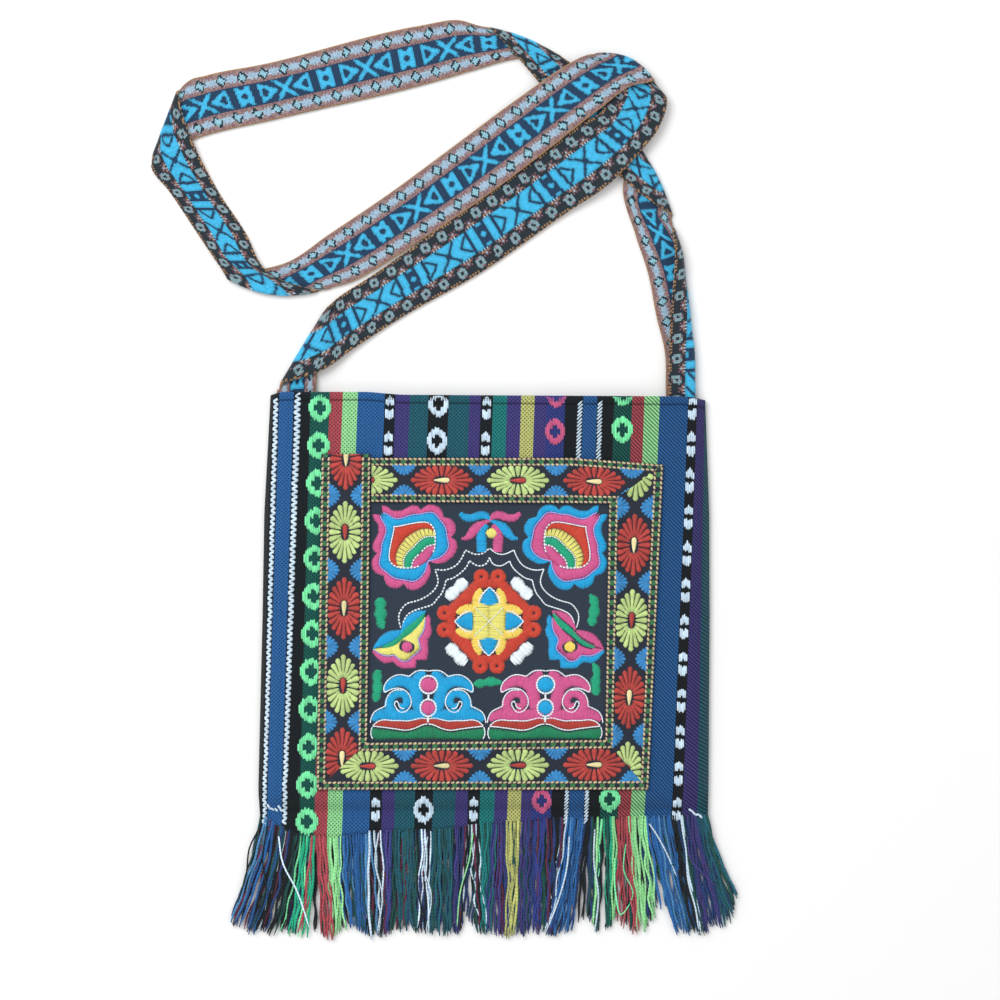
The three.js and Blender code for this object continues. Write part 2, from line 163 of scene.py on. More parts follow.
# Ribbon frame: what it and the patch cover as left, right, low and high, its width, and lines x, y, x, y
# where it is trimmed. Each strip lies along x (axis 0) or y (1) and has its span, its edges as (along,
# across), the flowers' places and its two ends.
COVERED = (-87.0, 92.0, -99.0, 77.0)
RIBBON_WIDTH = 26.6
TOP_START = (-61.7, 56.0, -61.7, 80.3)
TOP_RIGHT_MITRE = (68.5, 55.3, 98.5, 76.5)
LOW_RIGHT_MITRE = (66.5, -74.2, 90.2, -101.8)
LOW_LEFT_MITRE = (-64.0, -75.9, -91.9, -101.8)
LEFT_END = (-62.2, 82.4, -89.1, 82.4)
RIBBON_STRIPS = dict(
    top=dict(
        axis=0, span=(-61.7, 100.0),
        outer=((-61.7, 80.3), (48.5, 80.3), (98.5, 76.5)), inner=((-61.7, 56.1), (68.5, 55.3)),
        flowers={-64.4: "yellow", -23.1: "red", 18.7: "yellow", 60.5: "red", 101.8: "yellow"},
        ends=(TOP_START, TOP_RIGHT_MITRE),
    ),
    right=dict(
        axis=1, span=(-103.0, 78.0),
        outer=((-101.8, 90.2), (76.5, 98.5)), inner=((-74.2, 66.5), (55.3, 68.5)),
        flowers={-92.4: "yellow", -51.2: "red", -8.8: "yellow", 32.5: "red", 73.7: "yellow"},
        ends=(LOW_RIGHT_MITRE, TOP_RIGHT_MITRE),
    ),
    bottom=dict(
        axis=0, span=(-93.0, 91.5),
        outer=((-91.9, -101.8), (90.2, -101.8)), inner=((-64, -75.9), (66.5, -74.2)),
        flowers={-63.8: "yellow", -23.1: "red", 18.7: "yellow", 60.5: "red", 101.8: "yellow"},
        ends=(LOW_LEFT_MITRE, LOW_RIGHT_MITRE),
    ),
    left=dict(
        axis=1, span=(-103.0, 82.4),
        outer=((-101.8, -91.9), (82.5, -89.1)), inner=((-75.9, -64), (82.3, -62.2)),
        flowers={-84.7: "red", -44.6: "yellow", -2.2: "red", 39.6: "yellow", 79.75: "red"},
        ends=(LOW_LEFT_MITRE, LEFT_END),
    ),
)
# Places across the ribbon from its outer edge: check bands, and the stitch lines at their sides
RIBBON_COLUMNS = (0, 1.2, 3.4, 4.6, 8, 11, 13.3, 15.6, 18.6, 22, 23.2, 25.4, 26.6)
CHECK_COLUMNS = (1, 10)
STITCH_LINES = (0.75, 4.0, 22.6, 25.85)
CHECK_LENGTH = 2.7
# Shares of the width between which the ribbon climbs on to the patch, and how far its lines go on
RIBBON_CLIMB = (0.66, 0.8)
LINE_BEYOND = 100.0
# Edge stitches, and their reach along and across
EDGE_STITCH_PITCH = 2.6
EDGE_STITCH_END = 0.6
EDGE_STITCH_REACH = (0.95, 0.28)
# A flower's petals: start along and across, tip along and across, width; one quarter, then mirrored
FLOWER_PETALS = (
    (4.6, 0, 17, 0, 3.7), (4.4, 0.8, 14.8, 3.2, 3.5), (4, 1.4, 11.8, 5.8, 3.6),
    (3.1, 1.9, 8.3, 7.6, 3.7), (1.8, 2.1, 4.4, 8.5, 3.8), (0, 2.2, 0, 8.6, 3.7),
)
# Dark slits between neighbouring petals: where one starts and ends along them, its width and its lift
FLOWER_SLIT_REACH = (0.28, 0.96)
FLOWER_SLIT_WIDTH = 0.42
FLOWER_SLIT_LIFT = 0.3
# A flower's middle, as a petal; the four ways a quarter is mirrored; and every petal's lift
FLOWER_EYE = (-4.2, 0, 4.2, 0, 3.2)
FLIPS = ((1, 1), (-1, 1), (1, -1), (-1, -1))
PETAL_LIFT = 0.05
# A side fan's petals, from the ribbon's edge inwards: start, tip, width; then mirrored
FAN_PETALS = (
    (0, 8.6, 0, 2.6, 2.2), (0.5, 8.7, 2.2, 3.3, 2.1), (0.9, 8.9, 4.1, 4.8, 2),
    (1.2, 9, 5.6, 6.6, 1.9), (1.5, 9.2, 6.7, 8.4, 1.6),
)

# Strap sections, close to the CAD model's: x and y of edge a, of edge b, and height; then a fold's rise
# and bow, or a roll's tuck and radius. The strap turns over at each fold.
STRAP_WIDTH = 31.0
STRAP_SECTIONS = (
    (-112.8, 97, -91.3, 97, 2.4), (-113.2, 117, -92.7, 117, 2.4),
    (-111.6, 121.5, -88.5, 159.5, 2, "fold", 2.4, 0), (-89, 128.7, -85.3, 164, 4.4),
    (-73.2, 139.7, -80.8, 168.3, 2.4), (-46.8, 157, -60, 182, 0.8), (-2.2, 182.3, -19.6, 210.8, 0.8),
    (41.8, 212.9, 23.3, 241.5, 1.8), (73.7, 235.4, 53, 263.8, 5.2), (85.8, 248.6, 64.4, 270.6, 5.2),
    (95.2, 260.2, 67.7, 277.8, 5.2), (100.6, 274.5, 70.4, 286, 5.2),
    (93.5, 287.6, 62.2, 302.5, 5.2, "fold", 2.2, 5), (80.3, 284.4, 55, 301.1, 7.4),
    (63.2, 271.7, 46.2, 296.7, 7), (33.5, 248.6, 16, 276.1, 4.6), (-2.2, 222.2, -19.2, 250.2, 1.6),
    (-35.2, 200.2, -52.2, 226, 0.8), (-73.2, 177.4, -87.5, 202.1, 0.8), (-84.7, 174.1, -106.7, 189, 0.8),
    (-91.8, 172.4, -141.4, 179.3, 0.8, "fold", 2.2, 5), (-106.7, 176.3, -144.6, 184.5, 3),
    (-119.4, 183.2, -149.6, 191.7, 2.8), (-131.4, 204.3, -159, 205.7, 1),
    (-148.5, 230.7, -173.8, 227.7, 1), (-160.6, 255.2, -182, 237.6, 3), (-166.1, 270, -183.2, 241, 3),
    (-168.8, 282.2, -181.8, 248, 3, "fold", -2.2, 0), (-163.4, 287.6, -175.5, 249.7, 0.8),
    (-153.4, 291, -159, 256.3, 0.8), (-121, 297.4, -113.8, 267.3, 0.8), (-35.8, 318.4, -28.6, 287.4, 0.8),
    (-13.2, 321.5, -2.2, 295.1, 0.8), (-4.5, 318.9, 13.2, 299.5, 0.8),
    (3.8, 316.9, 38, 303.6, 0.8, "fold", 2.2, 1.5), (14.3, 305.8, 43.5, 300.6, 3),
    (30.8, 286.5, 50, 296.4, 3), (52.8, 261.2, 75.9, 280, 3), (74.2, 236, 78.5, 266, 3),
    (88.5, 224.1, 80.8, 259, 3), (103.4, 214, 86, 250.5, 3, "fold", -2.2, 1.5),
    (103.4, 209.6, 77, 233.2, 0.8), (110, 203.8, 83.6, 203, 0.8, "roll", 19.7, 2.4),
    (115.5, 196, 89, 187, 0.8, "roll", 18, 2.8), (125.5, 163.1, 95.4, 156.8, 0.8, "roll", 15.7, 2.1),
    (130.2, 143.5, 99.5, 139.7, 1.2, "roll", 14, 1.7), (131.1, 116, 100.1, 116, 2.4, "roll", 14.5, 1.05),
    (131.8, 96, 100.8, 96, 2.4, "roll", 14.5, 1.05),
)
# Steps round a fold and from section to section
FOLD_STEPS = 8
STRAP_STEPS = 24
# Most that a fold's bend reaches, in millimetres and as a share of the way to the next section, and the
# lowest that the strap's middle lies
FOLD_EASE = 8.0
FOLD_MOST = 0.9
STRAP_LOWEST = 0.92
# A quarter of the repeat in the strap's centre on each side, charted: a mark is a blue float
STRAP_CENTRE_RIGHT = (
    "...###..",
    "..#####.",
    ".#######",
    ".#######",
    ".#######",
    "........",
    "........",
    "........",
    "........",
    "........",
    ".#######",
    ".#######",
    "..###...",
    "..###...",
    "...###..",
    "...####.",
    "....####",
    ".....###",
    ".....###",
    "......##",
    "##....##",
    ".###...#",
    ".####...",
    "..####..",
    "...####.",
    "....####",
    ".....###",
)
STRAP_CENTRE_WRONG = (
    "##....##",
    "##.....#",
    "........",
    "........",
    "########",
    "########",
    "########",
    "########",
    "########",
    "........",
    "........",
    "##.#####",
    "##..####",
    "###..###",
    "####..##",
    "#####..#",
    "######..",
    "#######.",
    "########",
    "########",
    "..######",
    "#..#####",
    "##..####",
    "###..###",
    "####..##",
    "#####...",
    "######..",
)
# Strap's borders from the edge inwards, one repeat for each side: k black, t pale turquoise, r ring,
# l lilac, p rose, e edge, a full stop is the ground
STRAP_BORDER_RIGHT = (
    "...lkkl..",
    "...ktkk.p",
    "..ktttkkp",
    ".ktttttk.",
    ".kktttk.p",
    "p.kktk..p",
    "..lkkl...",
    "p..lll..p",
    "...lll.p.",
    "p.lllll.p",
    ".p.lll.p.",
    "p.lllll.p",
    ".p.lll...",
    "p..lll..p",
)
STRAP_BORDER_WRONG = (
    "..rrrr...",
    ".rrrrrp..",
    ".rr..rp..",
    ".pr..rr..",
    ".prrrrr..",
    "..rrrr..p",
    "e......p.",
    ".....p.el",
    "e.....pp.",
    ".....plel",
    "e.....pp.",
    ".....p.el",
    "e......p.",
    "........p",
)
# Where the pattern starts before and after the second fold, and the reach about it where this changes
STRAP_SHIFTS = (66.5, 85.4)
STRAP_SHIFT_REACH = (-45.0, 15.0)
# Strap's weave: sizes, border repeats to one of the centre, and picks between edge loops
STRAP_EDGE = 0.65
BORDER_WIDTH = 8.6
STRAP_CELL = 0.85
BORDER_REPEATS = 4
EDGE_BEAT = 1.6
# How far the ground lies below the full thickness, the dye's share at a float's ends as painted shade,
# letters' yarns
STRAP_FACE_DROP = 0.1
FLOAT_END_PAINTED_SHADE = 0.1
STRAP_YARNS = dict(
    n="navy", b="blue", g="ground", k="black", t="turquoise", r="ring", l="lilac", p="rose", e="edge")

# Fringe pieces: name, CAD node, seed, spacing of the strands, height of their roots and tips, drift of a
# clump, and how much shorter they are
FRINGES = (
    ("front_fringe_yarn", "front_fringe", 3, 0.72, 1.9, 1.1, 1.2, 0.0),
    ("back_fringe_yarn", "back_fringe", 8, 0.8, 0.75, 0.65, 2.5, 2.0),
)
# Strands' rings, the reach of the clumps and of the roots, and how far a root goes under the weave
FRINGE_RINGS = 15
FRINGE_HALF_WIDTH = 122.6
ROOT_LIMIT = 122.9
CLOTH_FOOT_Y = -118.0
ROOT_TUCK = 1.2
# How a strand spreads, settles, waves and curls along its length, and its height as a share of its width
CLUMP_WIDTH = 7.0
SPREAD_POWER = 1.25
SETTLE_POWER = 0.7
WAVE_FADE = 1.2
CURL_GROWTH = 3.0
FRINGE_FLATNESS = 0.85
# Share of a motif's yarn among its stripe's strands
FRINGE_FLOATS = dict(
    green_oval_left=(0.35, "neon"), green_oval_right=(0.6, "neon"), pink_oval=(0.4, "maroon"),
    white_oval=(0.15, "white"), tuft=(0.12, "white"), zigzag=(0.3, "white"))
# The back's yarns, and the number and width of its clumps of one yarn
BACK_YARNS = ("maroon", "navy", "forest", "black", "navy", "forest")
BACK_CLUMPS = 80
BACK_CLUMP_WIDTH = 5.0
# Left of this x, and in the black stripes, this share of the front's strands has the back's yarns
FRINGE_DARK_END = -112.0
FRINGE_DARK_SHARE = 0.65
# Share of a yarn's strands that are another yarn instead
FRINGE_MIX = dict(
    neon=(0.4, "lime"), teal=(0.8, "emerald"), green=(0.35, "forest"), sea=(0.35, "forest"),
    purple=(0.3, "navy"), blue=(0.3, "sky"))
# Root x and tip x, then the contour of the tips as x, y
FRINGE_SPREAD = np.array([
    (-123.2, -138), (-109.5, -126), (-101, -113), (-93, -95), (-86, -87), (-77.6, -74), (-62.7, -61),
    (-24, -26), (9, 9), (38, 35), (47, 37), (55, 47), (57, 55), (64, 63), (74, 71), (81, 85), (88.6, 92),
    (90.5, 103), (103, 114.5), (109, 120), (117, 131), (123.2, 138.5),
])
FRINGE_CONTOUR = np.array([
    (-138.5, -177.5), (-130.4, -182.6), (-105.6, -183.7), (-84, -186), (-74, -178), (-62, -185.6),
    (-43.5, -180.5), (-24, -183.2), (-13.5, -183.7), (-10.5, -172), (-7, -179), (-1, -182.6), (11, -184.8),
    (31, -182.6), (41.3, -183.7), (49, -181), (55.6, -173), (62.7, -183.7), (68, -182), (72.1, -174),
    (78, -182), (88.6, -183.2), (96, -169), (102.5, -168), (105.5, -182.6), (120, -183.2), (136, -177),
    (139.2, -163),
])
# Single strands that lie across the rest: their share of the width, then yarn and x, y along each
STRAY_WIDTH = 0.7
STRAYS = (
    ("white", (-113, -128), (-111, -142), (-103, -158), (-96, -179)),
    ("white", (47, -128), (45.5, -146), (41, -163), (34.5, -180)),
    ("white", (91, -121), (95, -127), (100, -136), (106, -150)),
    ("purple", (112, -128), (114, -141), (121, -149), (128, -156)),
    ("black", (-124, -124), (-129, -134), (-131, -150), (-136, -166)),
    ("black", (-119, -122), (-122, -140), (-120, -158), (-126, -176)),
    ("lime", (-6, -126), (-8, -140), (-13, -158), (-15, -179)),
    ("neon", (72, -140), (72.5, -160), (75.6, -171.5), (80.4, -165)),
    ("neon", (78, -132), (77, -147), (82, -160), (80.4, -165)),
    ("white", (-58, -126), (-60, -142), (-56, -160), (-59, -182)),
    ("white", (61, -124), (60.5, -142), (63, -160), (61, -181)),
    ("yellow", (17, -126), (18, -145), (15, -162), (17, -183)),
    ("blue", (50, -124), (49, -142), (44, -160), (39, -183)),
    ("white", (-31, -128), (-33, -145), (-29, -160), (-32, -180)),
)

# Weave places in centimetres: stagger from strand to strand, and the way round one
STRAND_STAGGER = 0.37
STRAND_GIRTH = 0.05
# Period of a wave texture at scale 1, and where across the cloth its spotted twill gives way to lines
WAVE_PERIOD = 0.314
TWILL_CHANGE = (3.0, 6.0)
# Sockets of a Mix node for numbers and for colours
MIX_FLOAT_A = 2
MIX_FLOAT_B = 3
MIX_COLOUR_A = 6
MIX_COLOUR_B = 7
MIX_COLOUR_RESULT = 2

# Height of the floor in metres
FLOOR_Z = -0.0001
# Width of the camera's sensor, and the width it sees at a distance, in millimetres
SENSOR = 36.0
VIEW_WIDTH = 550.0
VIEW_DISTANCE = 2000.0


# Settings

def linear(hex_colour):
    """An sRGB hex colour as linear red, green and blue."""
    values = [int(hex_colour[start:start + 2], 16) / 255 for start in (1, 3, 5)]
    return tuple(v / 12.92 if v <= 0.04045 else ((v + 0.055) / 1.055) ** 2.4 for v in values)


def dye(label, hex_colour):
    """A colour property."""
    return bpy.props.FloatVectorProperty(
        name=label, description=f"Colour of the {label.lower()}", subtype="COLOR", size=3,
        min=0, max=1, default=linear(hex_colour))


def length(label, description, default):
    """A size property, given in millimetres."""
    return bpy.props.FloatProperty(
        name=label, description=description, default=default * MM, min=0, soft_max=0.05, unit="LENGTH",
        precision=5)


class ClothSettings(bpy.types.PropertyGroup):
    """Sizes and colours of the striped cloth and the fringe."""
    thickness: length("Cloth thickness", "Thickness of the striped cloth", CLOTH)
    float_lift: length("Float lift", "How far a woven motif's floats stand on the cloth", 0.25)
    yarn_width: length("Fringe yarn width", "Width of one strand of the fringe", 1.3)
    black: dye("Black warp", "#0a141b")
    white: dye("White warp", "#cfe4f4")
    blue: dye("Blue warp", "#225c98")
    teal: dye("Teal warp", "#0b544c")
    neon: dye("Mint green warp", "#7ceaaa")
    red: dye("Red warp", "#a54650")
    lime: dye("Lime warp", "#90d694")
    purple: dye("Purple warp", "#3e3878")
    green: dye("Dark green warp", "#1a5868")
    sea: dye("Sea green warp", "#157676")
    yellow: dye("Yellow warp", "#b6ba70")
    indigo: dye("Indigo warp", "#2c3a80")
    pink: dye("Pink warp", "#c85a86")
    maroon: dye("Maroon back fringe", "#5a2038")
    navy: dye("Navy back fringe", "#1f3868")
    forest: dye("Forest back fringe", "#174c48")
    emerald: dye("Emerald fringe", "#1fa37c")
    sky: dye("Light blue fringe", "#4d86b4")


class EmbroiderySettings(bpy.types.PropertyGroup):
    """Sizes and colours of the patch and its embroidery."""
    stitch_width: length("Stitch width", "Width of one satin stitch", 0.76)
    stitch_step: length("Stitch step", "Distance from one satin stitch to the next", 0.5)
    ground: dye("Patch cloth", "#222e3c")
    blue: dye("Blue floss", "#0aa2d8")
    pink: dye("Pink floss", "#cf5890")
    red: dye("Red floss", "#c8402c")
    brick: dye("Brick floss", "#b23a30")
    green: dye("Green floss", "#0b8258")
    leaf: dye("Leaf green floss", "#12a67c")
    lemon: dye("Lemon floss", "#e6df7a")
    gold: dye("Gold floss", "#f0d462")
    white: dye("White floss", "#eaf4fa")
    lilac: dye("Lilac floss", "#a9a6ea")


class RibbonSettings(bpy.types.PropertyGroup):
    """Thickness and colours of the flower ribbon."""
    thickness: length("Ribbon thickness", "Thickness of the woven ribbon", RIBBON)
    ground: dye("Ribbon ground", "#141c2b")
    check: dye("Check band", "#2f6a40")
    stitch: dye("Edge stitches", "#d2bd94")
    red: dye("Red flower", "#b03c36")
    yellow: dye("Yellow flower", "#b8d084")
    cream: dye("Cream flower centre", "#e6d8a0")
    fan: dye("Blue fan", "#2f82be")


class StrapSettings(bpy.types.PropertyGroup):
    """Sizes and colours of the jacquard strap."""
    thickness: length("Strap thickness", "Thickness of the woven webbing", STRAP)
    float_lift: length("Strap float lift", "How far a blue float stands on the webbing", 0.2)
    navy: dye("Navy centre", "#08304f")
    blue: dye("Blue floats", "#34a2cc")
    ground: dye("Border ground", "#86706f")
    black: dye("Black outlines", "#13212a")
    turquoise: dye("Turquoise diamonds", "#80afbf")
    ring: dye("Pale rings", "#748e96")
    lilac: dye("Lilac crosses", "#8fa9bd")
    rose: dye("Rose chevrons", "#734f56")
    edge: dye("Edge stitches", "#96724f")


class StageSettings(bpy.types.PropertyGroup):
    """Colour of the floor and strength of the light."""
    floor: dye("Floor", "#f6f6f6")
    key_power: bpy.props.FloatProperty(
        name="Key light", description="Power of the large soft light", default=16.0, min=0, unit="POWER")
    sky: bpy.props.FloatProperty(
        name="Sky", description="Strength of the even white light", default=0.8, min=0)


def yarns(settings, names):
    """The named colours of a group of settings, one row each."""
    return np.array([tuple(getattr(settings, name)) for name in names])


# Shapes shared by the pieces

def rise(distance):
    """How far the front wall has risen at a distance from a seam, from 0 to 1."""
    return 1 - (1 - np.clip(distance / SHOULDER, 0, 1)) ** 3


def front_height(x, y):
    """Height of the front cloth's outer face."""
    left = np.interp(y, SIDE_SEAMS[:, 0], SIDE_SEAMS[:, 1])
    right = np.interp(y, SIDE_SEAMS[:, 0], SIDE_SEAMS[:, 2])
    swell = rise(np.minimum(x - left, right - x)) * rise(y - BOTTOM_SEAM_Y)
    crown = CROWN * (1 - (x / CROWN_HALF_WIDTH) ** 2)
    sway = SWAY * np.sin(y / SWAY_ALONG)
    ripple = RIPPLE_HEIGHT * np.sin(x / RIPPLE_ACROSS + sway) * np.sin(y / RIPPLE_ALONG + RIPPLE_PHASE)
    return 2 * CLOTH + GAP + (HOLLOW + crown + ripple) * swell


def on_front(x, y, lift=0.0):
    """Points at a lift above the front cloth."""
    return np.stack([x, y, front_height(x, y) + lift], -1)


def spline(rows, gaps=None, steps=8):
    """A smooth line through rows of numbers, with a number of steps for each gap between rows."""
    rows = np.asarray(rows, float)
    if gaps is None:
        gaps = np.hypot(*np.diff(rows[:, :2], axis=0).T)
    gaps = (np.asarray(gaps) + 1e-6)[:, None]
    slope = np.diff(rows, axis=0) / gaps
    tangent = np.empty_like(rows)
    tangent[0] = slope[0]
    tangent[-1] = slope[-1]
    tangent[1:-1] = (slope[:-1] * gaps[1:] + slope[1:] * gaps[:-1]) / (gaps[:-1] + gaps[1:])
    parts = []
    for step in np.arange(steps) / steps:
        parts.append(
            rows[:-1] * (1 + 2 * step) * (1 - step) ** 2 + rows[1:] * step ** 2 * (3 - 2 * step)
            + (tangent[:-1] * step * (1 - step) ** 2 - tangent[1:] * step ** 2 * (1 - step)) * gaps)
    line = np.stack(parts, 1).reshape(-1, rows.shape[1])
    return np.vstack([line, rows[-1:]])


def broken_spline(rows, corners=()):
    """A smooth line through rows of numbers, with sharp corners at some of them."""
    stops = [0, *corners, len(rows) - 1]
    parts = [spline(rows[first:last + 1]) for first, last in zip(stops, stops[1:])]
    return np.vstack([parts[0], *[part[1:] for part in parts[1:]]])


def travel(points):
    """Distance gone along a line of points."""
    gaps = np.linalg.norm(np.diff(points, axis=0), axis=1)
    return np.concatenate([[0], np.cumsum(gaps)])


def at_places(rows, gone, places):
    """Rows of numbers at places along a line."""
    return np.stack([np.interp(places, gone, column) for column in np.asarray(rows, float).T], 1)


def at_shares(rows, shares, corners=()):
    """Points at shares of the way along a smooth line, with sharp corners at some of its rows."""
    line = broken_spline(np.asarray(rows, float), corners)
    gone = travel(line)
    return at_places(line, gone / gone[-1], shares)


def along_ends(ends, shares):
    """x and y at shares of the way between pairs of ends, given as rows that start with x, y, x, y."""
    ends = np.asarray(ends, float)
    x = ends[:, :1] + (ends[:, 2:3] - ends[:, :1]) * shares
    y = ends[:, 1:2] + (ends[:, 3:4] - ends[:, 1:2]) * shares
    return x, y


# Meshes

def dressed(mesh, face_dyes, places):
    """A smooth mesh with each face's dye on its corners, and each vertex's place in the weave, in
    centimetres, as its UV map."""
    totals = np.empty(len(mesh.polygons), np.int32)
    mesh.polygons.foreach_get("loop_total", totals)
    dyes = np.ones((totals.sum(), 4), np.float32)
    dyes[:, :3] = np.repeat(face_dyes, totals, axis=0)
    mesh.color_attributes.new("dye", "FLOAT_COLOR", "CORNER").data.foreach_set("color", dyes.ravel())
    vertices = np.empty(len(mesh.loops), np.int32)
    mesh.loops.foreach_get("vertex_index", vertices)
    layer = mesh.uv_layers.new(name="yarn")
    layer.data.foreach_set("uv", np.asarray(places, np.float32).reshape(-1, 2)[vertices].ravel())
    mesh.polygons.foreach_set("use_smooth", np.ones(len(mesh.polygons), bool))
    mesh.update()
    return mesh


def cloth_grid(name, points, face_dyes, places):
    """An even grid of faces laid on rows and columns of points in millimetres."""
    rows, columns = points.shape[:2]
    form = bmesh.new()
    bmesh.ops.create_grid(form, x_segments=columns - 1, y_segments=rows - 1, size=1)
    mesh = bpy.data.meshes.new(name)
    form.to_mesh(mesh)
    form.free()
    mesh.vertices.foreach_set("co", (points * MM).astype(np.float32).ravel())
    if np.cross(points[0, 1] - points[0, 0], points[1, 0] - points[0, 0])[2] < 0:
        mesh.flip_normals()
    return dressed(mesh, np.asarray(face_dyes).reshape(-1, 3), places)


def strand_form(rings, sides):
    """One closed strand: each vertex's ring and turn round it, and its faces."""
    form = bmesh.new()
    bmesh.ops.create_circle(form, cap_ends=True, radius=1, segments=sides)
    edges = form.edges[:]
    for _ in range(rings - 1):
        made = bmesh.ops.extrude_edge_only(form, edges=edges)["geom"]
        edges = [part for part in made if isinstance(part, bmesh.types.BMEdge)]
        bmesh.ops.translate(
            form, vec=(0, 0, 1), verts=[part for part in made if isinstance(part, bmesh.types.BMVert)])
    bmesh.ops.holes_fill(form, edges=edges, sides=sides)
    bmesh.ops.recalc_face_normals(form, faces=form.faces)
    form.verts.index_update()
    ring = np.array([round(vertex.co.z) for vertex in form.verts])
    turn = np.array([math.atan2(vertex.co.y, vertex.co.x) for vertex in form.verts])
    faces = [[vertex.index for vertex in face.verts] for face in form.faces]
    form.free()
    return ring, turn, faces


def strand_mesh(name, paths, dyes, width, height, taper, sides=4):
    """Closed strands along paths of points in millimetres, joined in one mesh."""
    count, rings = paths.shape[:2]
    ring, turn, faces = strand_form(rings, sides)
    along = np.gradient(paths, axis=1)
    along /= np.linalg.norm(along, axis=2, keepdims=True) + 1e-9
    aside = np.cross(UP, along)
    aside /= np.linalg.norm(aside, axis=2, keepdims=True) + 1e-9
    above = np.cross(along, aside)
    size = np.asarray(taper, float)[ring] / 2
    wide = np.asarray(width, float).reshape(-1, 1) * size * np.cos(turn)
    high = np.asarray(height, float).reshape(-1, 1) * size * np.sin(turn)
    points = paths[:, ring] + aside[:, ring] * wide[..., None] + above[:, ring] * high[..., None]
    first = len(ring) * np.arange(count)
    every = [(np.array(face) + first[:, None]).tolist() for face in faces]
    mesh = bpy.data.meshes.new(name)
    mesh.from_pydata((points * MM).reshape(-1, 3), [], [face for group in zip(*every) for face in group])
    steps = np.linalg.norm(np.diff(paths, axis=1), axis=2)
    gone = np.pad(np.cumsum(steps, axis=1), ((0, 0), (1, 0)))
    start = np.arange(count)[:, None] * STRAND_STAGGER
    places = np.stack([turn / math.pi * STRAND_GIRTH + start, gone[:, ring] / CM + start], -1)
    return dressed(mesh, np.repeat(dyes, len(faces), axis=0), places)


def joined(name, meshes):
    """One mesh from several."""
    form = bmesh.new()
    for mesh in meshes:
        form.from_mesh(mesh)
        bpy.data.meshes.remove(mesh)
    whole = bpy.data.meshes.new(name)
    form.to_mesh(whole)
    form.free()
    return whole


def trimmed(mesh, ends, inside, closed=False):
    """A mesh cut off at upright planes through ends given as x, y, x, y. The side towards inside is kept,
    and the cut ends of closed strands are filled."""
    form = bmesh.new()
    form.from_mesh(mesh)
    for x0, y0, x1, y1 in ends:
        normal = np.array([y1 - y0, x0 - x1, 0.0])
        if np.dot(normal[:2], (inside[0] - x0, inside[1] - y0)) > 0:
            normal = -normal
        parts = form.verts[:] + form.edges[:] + form.faces[:]
        cut = bmesh.ops.bisect_plane(
            form, geom=parts, dist=1e-7, plane_co=(x0 * MM, y0 * MM, 0), plane_no=normal, clear_outer=True)
        edges = [part for part in cut["geom_cut"] if isinstance(part, bmesh.types.BMEdge)]
        rim = [edge for edge in edges if edge.is_boundary]
        if closed and rim:
            bmesh.ops.holes_fill(form, edges=rim, sides=0)
    form.to_mesh(mesh)
    form.free()
    return mesh


def piece(name, mesh, material, slot, *nodes):
    """An object in the scene that rides on the bag and stands for CAD nodes."""
    thing = bpy.data.objects.new(name, mesh)
    bpy.context.scene.collection.objects.link(thing)
    mesh.materials.append(material)
    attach(thing, "root")
    if nodes:
        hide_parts(*nodes)
    return thing


def thicken(thing, thickness):
    """Gives a sheet its thickness below its face."""
    wall = thing.modifiers.new("Thickness", "SOLIDIFY")
    wall.thickness = thickness
    wall.offset = -1
    return thing


# Materials

def add_node(tree, kind, inputs=(), **settings):
    """Adds a node with its settings, and links or sets its inputs."""
    node = tree.nodes.new(kind)
    for name, value in settings.items():
        setattr(node, name, value)
    for name, value in dict(inputs).items():
        if isinstance(value, bpy.types.NodeSocket):
            tree.links.new(value, node.inputs[name])
        else:
            node.inputs[name].default_value = value
    return node


def new_material(name, roughness, sheen):
    """A material whose colour starts from the dye of each face."""
    material = bpy.data.materials.new(name)
    material.use_nodes = True
    tree = material.node_tree
    tree.nodes.clear()
    shader = add_node(tree, "ShaderNodeBsdfPrincipled", {
        "Roughness": roughness, "Sheen Weight": sheen, "Sheen Roughness": 0.5, "Specular IOR Level": 0.3})
    add_node(tree, "ShaderNodeOutputMaterial", {"Surface": shader.outputs[0]})
    colour = add_node(tree, "ShaderNodeAttribute", attribute_name="dye").outputs["Color"]
    place = add_node(tree, "ShaderNodeUVMap", uv_map="yarn").outputs[0]
    return material, tree, shader, colour, place


def bands(tree, place, period, turn, distortion=0.3):
    """Soft lines across the weave, a period in centimetres apart, turned by an angle in degrees."""
    turned = add_node(tree, "ShaderNodeMapping", {
        "Vector": place, "Rotation": (0, 0, math.radians(turn))})
    return add_node(tree, "ShaderNodeTexWave", {
        "Vector": turned.outputs[0], "Scale": WAVE_PERIOD / period, "Distortion": distortion, "Detail": 2,
        "Detail Scale": 2}, bands_direction="X").outputs["Fac"]


def finish_weave(tree, shader, colour, shade, height, low, high, bump):
    """Darkens the dye between threads, mottles it, and raises the threads by a bump in millimetres."""
    depth = add_node(tree, "ShaderNodeMapRange", {"Value": shade, "To Min": low, "To Max": high})
    dyed = add_node(tree, "ShaderNodeMix", {
        "Factor": 1.0, MIX_COLOUR_A: colour, MIX_COLOUR_B: depth.outputs[0]},
        data_type="RGBA", blend_type="MULTIPLY")
    raised = add_node(tree, "ShaderNodeBump", {"Height": height, "Distance": bump * MM, "Strength": 1.0})
    tree.links.new(dyed.outputs[MIX_COLOUR_RESULT], shader.inputs["Base Color"])
    tree.links.new(raised.outputs[0], shader.inputs["Normal"])


